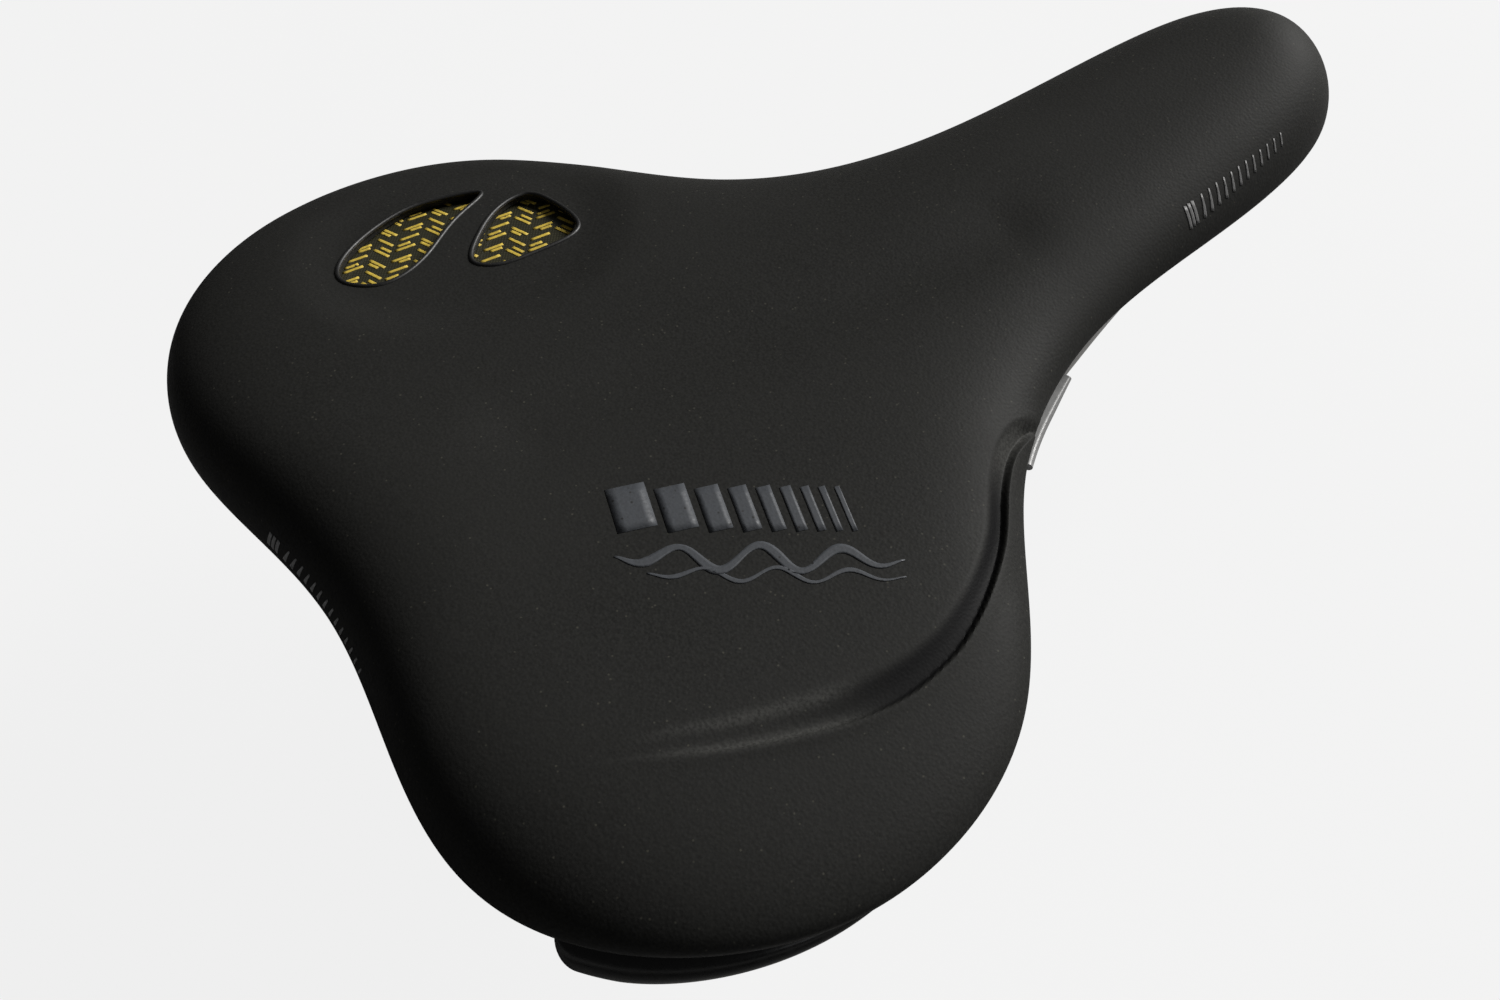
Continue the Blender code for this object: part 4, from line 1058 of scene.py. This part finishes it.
def add_strokes(name, bm, finish, slot):
    """The landed strokes as one piece of the seat, with their thickness down into the cover."""
    piece = add_piece(name, bm, finish)
    thicken(piece, PRINT_THICK)
    settle(piece, "seat_top", slot)


def make_badge():
    depth = COVER_WALL + 1.2 * GAP
    badge = oval_pad("badge_insert", "window_badge", depth, BADGE_THICK, OLIVE, 8)
    settle(badge, "seat_top", "badge", "window_badge")
    bm = bmesh.new()
    for column in range(-6, 7):
        for place in range(-8, 9):
            add_sign(bm, column, place, depth)
    add_strokes("badge_strokes", bm, YELLOW_INK, "badge")


def add_sign(bm, column, place, depth):
    """One small sign of the pattern, if it lies where a window shows it."""
    turn = Matrix.Rotation(SIGN_TURN, 2)
    centre = turn @ Vector((column * COLUMN_STEP, (place + (column % 2) / 2) * SIGN_STEP))
    if math.hypot(centre.x / SIGNS_REACH[0], centre.y / SIGNS_REACH[1]) > 1:
        return
    sign = SIGNS[(column + 2 * place) % len(SIGNS)]
    flip = -1 if column % 2 else 1

    def placed(a, b):
        spot = turn @ Vector((a, b)) + centre
        return (BADGE_CENTRE[0] + spot.x, BADGE_CENTRE[1] + spot.y, 0)

    for stroke in sign:
        points = [(flip * x * SIGN_HIGH * 0.6, y * SIGN_HIGH * 0.5) for x, y in stroke]
        for start, end in zip(points, points[1:]):
            ribbon(bm, [start, end], [STROKE, STROKE], SIGN_LIFT - depth, placed)


# -------- printed ornaments

PRINT_LIFT = 0.10 * MM
BARS = 9
BAR_START = 4.0 * MM
BAR_TOP = 0.4 * MM
BAR_FOOT = 10.6 * MM
BAR_LEAN = -3.0 * MM
BAR_WIDTH = 7.4 * MM  # across the first bar
BAR_FADE = 0.78  # each bar's width, as a share of the one before
BAR_SPACE = 1.7 * MM
WAVES = (
    (0.0, 16.8 * MM, 2.9 * MM, 2.1 * MM),
    (6.0 * MM, 20.4 * MM, 1.6 * MM, 1.0 * MM),
)
WAVE_END = 52.0 * MM
WAVE_TURNS = 3.5


def print_frame(origin, along, across):
    """Turns (a, b) in metres along and across a print into a place; origin is in millimetres."""
    origin, along, across = Vector(origin) * MM, Vector(along), Vector(across)
    return lambda a, b: origin + along * a + across * b


WING_PRINT = print_frame((16.1, -60.2, 0), (0.580, 0.815, 0), (0.815, -0.580, 0))
NOSE_PRINT = print_frame((60.0, 78.5, 60.0), (0, 1, 0.004), DOWN)
REAR_PRINT = print_frame((-20.8, -200.0, 70.5), (1, 0, 0), DOWN)


def make_wing_print():
    """A fading block of leaning bars over two rolling waves, in blue-grey ink, on the right wing."""
    bm = bmesh.new()
    start = BAR_START
    for i in range(BARS):
        broad = BAR_WIDTH * BAR_FADE**i
        bar = [(start + BAR_LEAN, BAR_TOP), (start, BAR_FOOT)]
        ribbon(bm, bar, [broad, broad], PRINT_LIFT, WING_PRINT)
        start += broad * (1 + BAR_FADE) / 2 + BAR_SPACE
    for start, level, rise, broad in WAVES:
        wave = []
        for t in np.linspace(0, 1, 72):
            x = start + (WAVE_END - start) * t
            y = level + rise * math.sin(2 * math.pi * WAVE_TURNS * t) * math.sin(math.pi * t) ** 0.5
            wave.append((x, y))
        widths = [0.3 * MM] + [broad, 0.6 * broad] * 4 + [0.25 * MM]
        ribbon(bm, wave, widths, PRINT_LIFT, WING_PRINT)
    add_strokes("wing_print", bm, WING_INK, "cover_skin")


# Shares of a row's length: its block's bars, their spacing, and the dashes' start and run
BLOCK_START = 0.01
BLOCK_STEP = 0.034
DASH_START = 0.15
DASH_RUN = 0.83
DASH_SHRINK = 0.4  # share of its height that the last dash loses
BLOCK_BROAD = 0.8 * MM
DASH_TIP = 0.35 * MM


def dash_row(bm, place, direction, length, tall, count):
    """A block of three bars, then leaning dashes that grow shorter towards the end of the row."""
    for i in range(3):
        start = (BLOCK_STEP * i + BLOCK_START) * length
        points = [(start, tall), (start + 0.3 * tall, 0)]
        ribbon(bm, points, [BLOCK_BROAD] * 2, PRINT_LIFT, place, direction)
    for t in np.linspace(0, 1, count):
        start = (DASH_START + DASH_RUN * t) * length
        high = tall * (1 - DASH_SHRINK * t)
        points = [(start, high), (start + 0.5 * high, 0)]
        ribbon(bm, points, [(1.0 - 0.5 * t) * MM, DASH_TIP], PRINT_LIFT, place, direction)


def make_side_prints():
    """Rows of dashes on the nose's right side and on the rear slope."""
    for name, place, direction, length, tall, count, ink in (
        ("nose_print", NOSE_PRINT, Vector((-1, 0, 0)), 33.0 * MM, 3.4 * MM, 12, NOSE_INK),
        # The rear row's ink is brightened as painted light against the rear slope's shade.
        ("rear_print", REAR_PRINT, Vector((0, 1, 0)), 38.5 * MM, 3.6 * MM, 14, REAR_INK_PAINTED_LIGHT),
    ):
        bm = bmesh.new()
        dash_row(bm, place, direction, length, tall, count)
        add_strokes(name, bm, ink, "cover_skin")


# -------- the moulded base

RIB_DEEP = 3.6 * MM
RIB_WALL = 1.8 * MM
RIB_FOOT = 0.4 * MM
RIM_PLAY = 0.39 * MM
WEB_THICK = 2.2 * MM
# Ends of the ribs that run out from each spring, and places of the ribs across, in millimetres
RIB_ENDS = ((30, -20), (78, -45), (84, -80), (62, -108), (20, -108))
CROSS_RIBS = (-60, -30, 0, 30, 60)


def base_top(u, v):
    rim = Rim(even_index(u))
    inset = SHELL_INSET + RIM_PLAY
    return rim.crown(share_at(v), inset, rim.shell_edge(), lambda plan: padding_depth(plan[:, 1]))


def base_bmesh():
    bm = bmesh.new()
    moved_grid(bm, 256, 48, base_top)
    close_seams(bm)
    face_up(bm)
    return bm


def add_rib(bm, under, start, end):
    """A thin closed wall under the base between two plan points, with its foot in the shell."""
    start = Vector(start)
    end = Vector(end)
    across = (end - start).orthogonal().normalized() * RIB_WALL / 2
    # Its section: half widths across, and shares of the way down from foot to tip
    section = ((1, 0), (0.55, 1), (-0.55, 1), (-1, 0), (1, 0))

    def surface(u, v):
        points = []
        for a, b in zip(np.clip(u, 0, 1), v):
            spot = start.lerp(end, a)
            foot = under.ray_cast(Vector((spot.x, spot.y, 0)), UP)[0].z + RIB_FOOT
            side, down = section[int(round(b * (len(section) - 1)))]
            deep = RIB_FOOT + (RIB_DEEP * math.sin(math.pi * a) ** 0.35 if 0 < a < 1 else 0)
            points.append((spot.x + across.x * side, spot.y + across.y * side, foot - deep * down))
        return points

    verts = moved_grid(bm, 24, len(section) - 1, surface)
    bmesh.ops.remove_doubles(bm, verts=verts, dist=MERGE)
    close_ends(bm)


def make_base():
    """Moulded shell with a flanged boss over each spring, stiffening ribs and the hinge tower."""
    shell = add_piece("shell", base_bmesh(), BASE_BLACK)
    thicken(shell, SHELL_WALL)
    bm = bmesh.new()
    bm.from_mesh(shell.data)
    bpy.data.objects.remove(shell, do_unlink=True)
    under = BVHTree.FromBMesh(bm)
    spring = SPRING_CENTRE.xy
    for _, sign in SIDES:
        add_boss(bm, under, sign)
        for end in RIB_ENDS:
            end = Vector(end) * MM
            start = spring + (end - spring).normalized() * (BOSS_RADIUS - 1 * MM)
            add_rib(bm, under, (sign * start.x, start.y), (sign * end.x, end.y))
        add_rib(bm, under, (sign * 9 * MM, -95 * MM), (sign * 9 * MM, 84 * MM))
    for y in CROSS_RIBS:
        add_rib(bm, under, (-22 * MM, y * MM), (22 * MM, y * MM))
    add_tower(bm)
    bmesh.ops.recalc_face_normals(bm, faces=bm.faces)
    base = add_piece("moulded_base", bm, BASE_BLACK, 45)
    settle(base, "seat_top", "shell_plastic", "base_shell")


def add_boss(bm, under, sign):
    """Turned boss with a flared foot, a bolt hole and a shallow ring pressed into its face."""
    place = Vector((sign * SPRING_CENTRE.x, SPRING_CENTRE.y, 0))
    top = under.ray_cast(place, UP)[0].z + 1.0 * MM
    tall = top - BOSS_BASE
    hole = BOLT / 2 + GAP
    profile = [
        (hole, 0.6 * MM),
        (hole + 0.6 * MM, 0),
        (BOSS_RADIUS - 6 * MM, 0),
        (BOSS_RADIUS - 5.6 * MM, 0.7 * MM),
        (BOSS_RADIUS - 3.4 * MM, 0.7 * MM),
        (BOSS_RADIUS - 3 * MM, 0),
        (BOSS_RADIUS - 0.8 * MM, 0),
        (BOSS_RADIUS, 0.8 * MM),
        (BOSS_RADIUS + 0.3 * MM, 0.6 * tall),
        (BOSS_RADIUS + 2.5 * MM, tall),
        (hole, tall),
    ]
    spun(bm, profile, (place.x, place.y, BOSS_BASE), 48)


def add_tower(bm):
    """Rounded blocks round the hinge wire: one ahead, one behind, one over it and a web each side."""
    length = CAP_HIGH.y - CAP_LOW.y
    width = CAP_HIGH.x - CAP_LOW.x
    low = CAP_HIGH.z + GAP
    high = middle_line(PIVOT_Y) - FOAM_NOSE
    clear = WIRE / 2 + GAP
    leg = length / 2 - clear
    for sign in (1, -1):
        add_block(bm, (width, leg, high - low), (0, PIVOT_Y + sign * (clear + leg / 2), high), 1.0 * MM)
    add_block(bm, (width, length - 2 * MM, high - PIVOT_Z - clear), (0, PIVOT_Y, high), 0.4 * MM)
    web = (WEB_THICK, 1.5 * length, 0.55 * (high - low))
    for sign in (1, -1):
        add_block(bm, web, (sign * (width / 2 - 1 * MM), PIVOT_Y - 2 * MM, high), 0.6 * MM)


def add_block(bm, size, top, rounding):
    """A rounded block that hangs from the middle of its top."""
    centre = Vector(top) - UP * size[2] / 2
    place = Matrix.Translation(centre) @ Matrix.Diagonal((*size, 1))
    made = bmesh.ops.create_cube(bm, size=1, matrix=place)["verts"]
    round_edges(bm, list({edge for vert in made for edge in vert.link_edges}), rounding)


# -------- strips under the rim

BUMPER_SPAN = (6.62, 8.45)
BUMPER_DEPTH = 10.0 * MM
BUMPER_PROUD = 5.4 * MM
BUMPER_RUN_OUT = 0.78
BUMPER_BLUNT = 0.1
BUMPER_REACH = 8.3 * MM
CLIP_SPAN = (4.16, 4.74)
CLIP_PROUD = 4.8 * MM
CLIP_REACH = 4.8 * MM
CLIP_THICK = 2.2 * MM


def bumper_section():
    """Round outer face with a shallow groove along it, then a flat floor, inner face and top."""
    centre = (TUCK + 1.0 * MM, -(BUMPER_DEPTH + RIM_GAP) / 2)
    radii = (BUMPER_PROUD + 1.0 * MM, (BUMPER_DEPTH - RIM_GAP) / 2)
    points = []
    for degrees in np.linspace(80, -90, 22):
        angle = math.radians(degrees)
        pinch = 0.45 * MM * bell((degrees - 28) / 9)
        x = centre[0] - (radii[0] - pinch) * math.cos(angle)
        points.append((x, centre[1] + radii[1] * math.sin(angle)))
    inner = TUCK + BUMPER_REACH
    corner = 1.5 * MM
    for degrees in np.linspace(-90, 0, 6):
        angle = math.radians(degrees)
        points.append(
            (inner - corner + corner * math.cos(angle), corner - BUMPER_DEPTH + corner * math.sin(angle))
        )
    return points + [(inner, -RIM_GAP - 0.4 * MM), (inner - 0.4 * MM, -RIM_GAP), (TUCK + 0.4 * MM, -RIM_GAP)]


def bumper_scale(t):
    """The front end runs out slowly, the rear end is blunt."""
    front = np.minimum(1, (t + 0.01) / BUMPER_RUN_OUT)
    rear = np.minimum(1, (1.004 - t) / BUMPER_BLUNT)
    return (1 - (1 - front) ** 1.4) * np.sqrt(1 - (1 - rear) ** 2)


def clip_section():
    outer = TUCK - CLIP_PROUD
    inner = TUCK + CLIP_REACH
    middle = -RIM_GAP - CLIP_THICK / 2
    points = [(inner, -RIM_GAP)]
    for degrees in np.linspace(90, -90, 12):
        angle = math.radians(degrees)
        x = outer + CLIP_THICK / 2 - CLIP_THICK / 2 * math.cos(angle)
        points.append((x, middle + CLIP_THICK / 2 * math.sin(angle)))
    return points + [(inner, -RIM_GAP - CLIP_THICK)]


def clip_scale(t):
    return 0.55 + 0.45 * np.sin(np.minimum(1, (t + 0.02) / 0.5) * math.pi / 2)


def rim_strip(name, sign, span, section, scale, finish, stations):
    """A strip that follows the rim: its section is (in from the outline, above the cover's edge)."""
    ring = np.array(section)
    anchor = np.array((ring[:, 0].mean(), ring[:, 1].max()))
    ring = np.vstack([ring, ring[:1]])
    bm = bmesh.new()

    def surface(u, v):
        rim = Rim(span[0] + (span[1] - span[0]) * v)
        at = u * (len(ring) - 1)
        point = np.column_stack([np.interp(at, np.arange(len(ring)), ring[:, k]) for k in (0, 1)])
        point = anchor + (point - anchor) * scale(v)[:, None]
        plan = rim.outer - rim.out * point[:, :1]
        return np.column_stack([sign * plan[:, 0], plan[:, 1], rim.edge - rim.skirt + point[:, 1]])

    moved_grid(bm, len(ring) - 1, stations, surface)
    bmesh.ops.remove_doubles(bm, verts=bm.verts, dist=MERGE)
    close_ends(bm)
    bmesh.ops.recalc_face_normals(bm, faces=bm.faces)
    return add_piece(name, bm, finish, 50)


def make_rim_strips():
    for side, sign in SIDES:
        bumper = rim_strip(
            f"rear_bumper_{side}", sign, BUMPER_SPAN, bumper_section(), bumper_scale, BUMPER_BLACK, 120
        )
        settle(bumper, "seat_top", "bumper_plastic", f"bumper_{side}")
        strip = rim_strip(f"waist_strip_{side}", sign, CLIP_SPAN, clip_section(), clip_scale, STRIP_GREY, 40)
        settle(strip, "seat_top", "clip_plastic", f"edge_clip_{side}")


# -------- springs and rails


SPRING_HOLE = BOLT / 2 + 0.8 * MM
SPRING_EDGE = 1.2 * MM
SPRING_WAIST = 2.2 * MM
RINGS = 6
RING_RISE = 0.35 * MM
PLAIN_MIDDLE = 0.2  # no rings this near the middle, as a share of the height


def spring_profile():
    """(radius, height) points with rounded shoulders, a waist and moulded rings."""
    profile = [(SPRING_HOLE, 0), (SPRING_RADIUS - SPRING_EDGE, 0)]
    for t in np.linspace(0, 1, 49):
        shoulder = min(1, min(t, 1 - t) * SPRING_HEIGHT / SPRING_EDGE + 0.15)
        rounding = SPRING_EDGE * (1 - math.sqrt(1 - (1 - shoulder) ** 2))
        waist = SPRING_WAIST * bell((t - 0.5) / 0.17)
        rings = RING_RISE * math.cos(2 * math.pi * RINGS * t) * (abs(t - 0.5) > PLAIN_MIDDLE)
        profile.append((SPRING_RADIUS - 0.4 * MM - rounding - waist + rings, t * SPRING_HEIGHT))
    return profile + [(SPRING_RADIUS - SPRING_EDGE, SPRING_HEIGHT), (SPRING_HOLE, SPRING_HEIGHT)]


def make_springs():
    for side, sign in SIDES:
        bm = bmesh.new()
        centre = (sign * SPRING_CENTRE.x, SPRING_CENTRE.y, SPRING_LOW.z)
        spun(bm, spring_profile(), centre, 64)
        close_seams(bm)
        spring = add_piece(f"rubber_spring_{side}", bm, RUBBER)
        settle(spring, "rails", "spring_rubber", f"elastomer_{side}")
        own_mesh(spring)


def hermite(start, end, pull, steps):
    """Points from start to end that leave and arrive along -Y, without the first."""
    t = np.linspace(0, 1, steps + 1)[1:, None]
    share = t * t * (3 - 2 * t)
    bow = (2 * t**3 - 3 * t**2 + t) * np.array((0, -pull, 0))
    return list((1 - share) * np.array(start) + share * np.array(end) + bow)


def half_wire():
    """Middle of the wire, from the hinge's centre along the right rail to its rear end."""
    points = [(0, PIVOT_Y, PIVOT_Z)]
    for degrees in range(90, -1, -9):
        angle = math.radians(degrees)
        x = PIVOT_HALF - WIRE_BEND * (1 - math.cos(angle))
        y = PIVOT_Y - WIRE_BEND * (1 - math.sin(angle))
        points.append((x, y, PIVOT_Z))
    rear, front = RAIL_STRAIGHT
    spread = RAIL_SPREAD / 2
    points += hermite(points[-1], (spread, front, RAIL_Z), RAIL_PULL, 36)
    points.append((spread, rear, RAIL_Z))
    points += hermite(points[-1], (RAIL_END_X, CLIP_FRONT + 1 * MM, RAIL_END_Z), TAIL_PULL, 16)
    return points + [(RAIL_END_X, RAIL_END_Y, RAIL_END_Z)]


def make_rails():
    """One bent steel wire: both rails and the hinge bar across the nose."""
    right = half_wire()
    left = [(-x, y, z) for x, y, z in right[:0:-1]]
    bm = bmesh.new()
    tube(bm, left + right, WIRE / 2, 28)
    close_seams(bm)
    ends = [edge for edge in bm.edges if len(edge.link_faces) == 2 and edge.calc_face_angle(0) > 1.0]
    round_edges(bm, ends, 0.7 * MM)
    settle(add_piece("rail_wire", bm, RAIL_STEEL), "rails", "rail_steel", "rail_frame")


# -------- fittings that keep their own shape

FITTING_FINISHES = {
    **dict.fromkeys(("nose_cap", "rail_clip"), BASE_BLACK),
    "rear_bridge": ENAMEL,
    **dict.fromkeys(("clamp_band", "inner_cheek", "outer_cheek"), CLAMP_STEEL),
    **dict.fromkeys(("nose_screw", "clip_screw", "spring_bolt", "spring_washer", "spring_nut"), ZINC),
    **dict.fromkeys(("clamp_stud", "clamp_washer", "clamp_nut"), ZINC),
}
FITTING_ROUND = 0.35 * MM


def dress_fittings():
    """Each fitting gets its finish and a small round on its edges."""
    for name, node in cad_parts.items():
        finish = FITTING_FINISHES.get(name) or FITTING_FINISHES.get(name.rsplit("_", 1)[0])
        if finish is None:
            continue
        node.data.materials.clear()
        node.data.materials.append(finish)
        weld = node.modifiers.new("joined", "WELD")
        weld.merge_threshold = MERGE
        bevel = node.modifiers.new("rounded", "BEVEL")
        bevel.width = FITTING_ROUND
        bevel.segments = 2
        bevel.limit_method = "ANGLE"
        bevel.angle_limit = math.radians(35)
        bevel.use_clamp_overlap = True


# -------- floor, light and camera

CAMERA_TARGET = Vector((33.95, -42.91, 72.0)) * MM
CAMERA_DISTANCE = 268.3 * MM
CAMERA_AZIMUTH = math.radians(61.4913)
CAMERA_ELEVATION = math.radians(55.1525)
CAMERA_ROLL = math.radians(-9.317)
CAMERA_LENS = 34.9  # mm, on a 36 mm wide sensor
LIGHT_TARGET = Vector((0, 0, 0.05))
FLOOR_GLOW = 0.86
WORLD_FILL = 0.045


def make_camera():
    """A close view from the rider's right and behind, looking down on the wing."""
    data = bpy.data.cameras.new("camera")
    data.lens = CAMERA_LENS
    data.sensor_width = 36.0
    data.clip_start = 0.01
    data.clip_end = 20.0
    camera = bpy.data.objects.new("camera", data)
    turn = Matrix.Rotation(CAMERA_AZIMUTH, 4, "Z") @ Matrix.Rotation(math.pi / 2 - CAMERA_ELEVATION, 4, "X")
    turn @= Matrix.Rotation(CAMERA_ROLL, 4, "Z")
    camera.matrix_world = Matrix.Translation(CAMERA_TARGET) @ turn @ Matrix.Translation(UP * CAMERA_DISTANCE)
    bpy.context.scene.collection.objects.link(camera)
    bpy.context.scene.camera = camera


def add_light(name, place, size, power, colour):
    """A round soft light, aimed at the saddle."""
    data = bpy.data.lights.new(name, "AREA")
    data.shape = "DISK"
    data.size = size
    data.energy = power
    data.color = colour
    light = bpy.data.objects.new(name, data)
    aim = (LIGHT_TARGET - Vector(place)).to_track_quat("-Z", "Y").to_matrix().to_4x4()
    light.matrix_world = Matrix.Translation(place) @ aim
    bpy.context.scene.collection.objects.link(light)


def floor_finish():
    """Pale matte floor that looks evenly lit, throws little light back up and is clear from below."""
    floor = Finish("pale_floor", Roughness=0.9, Specular_IOR_Level=0.05)
    floor.feed(floor.shader.inputs["Base Color"], floor.mixed(floor.cloud(6.0), grey(0.34), grey(0.36)))
    glow = floor.add("Emission", {"Color": (1, 1, 1, 1), "Strength": 1.0}).outputs[0]
    direct = floor.maths("MULTIPLY", floor.add("LightPath").outputs["Is Camera Ray"], FLOOR_GLOW)
    lit = floor.add("MixShader", {0: direct, 1: floor.shader.outputs[0], 2: glow}).outputs[0]
    clear = floor.add("BsdfTransparent").outputs[0]
    under = floor.add("NewGeometry").outputs["Backfacing"]
    seen = floor.add("MixShader", {0: under, 1: lit, 2: clear}).outputs[0]
    floor.feed(floor.tree.nodes["Material Output"].inputs["Surface"], seen)
    return floor.material


def make_stage():
    """Plain pale floor, one large soft light ahead of the nose, a weak one beside it and faint fill."""
    bm = bmesh.new()
    bmesh.ops.create_grid(bm, x_segments=8, y_segments=8, size=3.0)
    bmesh.ops.translate(bm, verts=bm.verts, vec=(0, 0, CAD_BOUNDS[0].z - 0.2 * MM))
    add_piece("floor", bm, floor_finish())
    add_light("key", (0.0, 1.75, 1.0), 0.9, 52.0, (1.0, 0.99, 0.97))
    add_light("side", (1.4, 0.1, 0.7), 0.7, 0.8, (0.97, 0.98, 1.0))
    world = bpy.data.worlds.new("studio")
    world.use_nodes = True
    background = world.node_tree.nodes["Background"]
    background.inputs["Color"].default_value = (1, 1, 1, 1)
    background.inputs["Strength"].default_value = WORLD_FILL
    bpy.context.scene.world = world
    bpy.context.scene.view_settings.view_transform = "Standard"


make_camera()
make_stage()
make_cover()
make_foam()
make_gel()
make_badge()
make_wing_print()
make_side_prints()
make_base()
make_rim_strips()
make_springs()
make_rails()
dress_fittings()
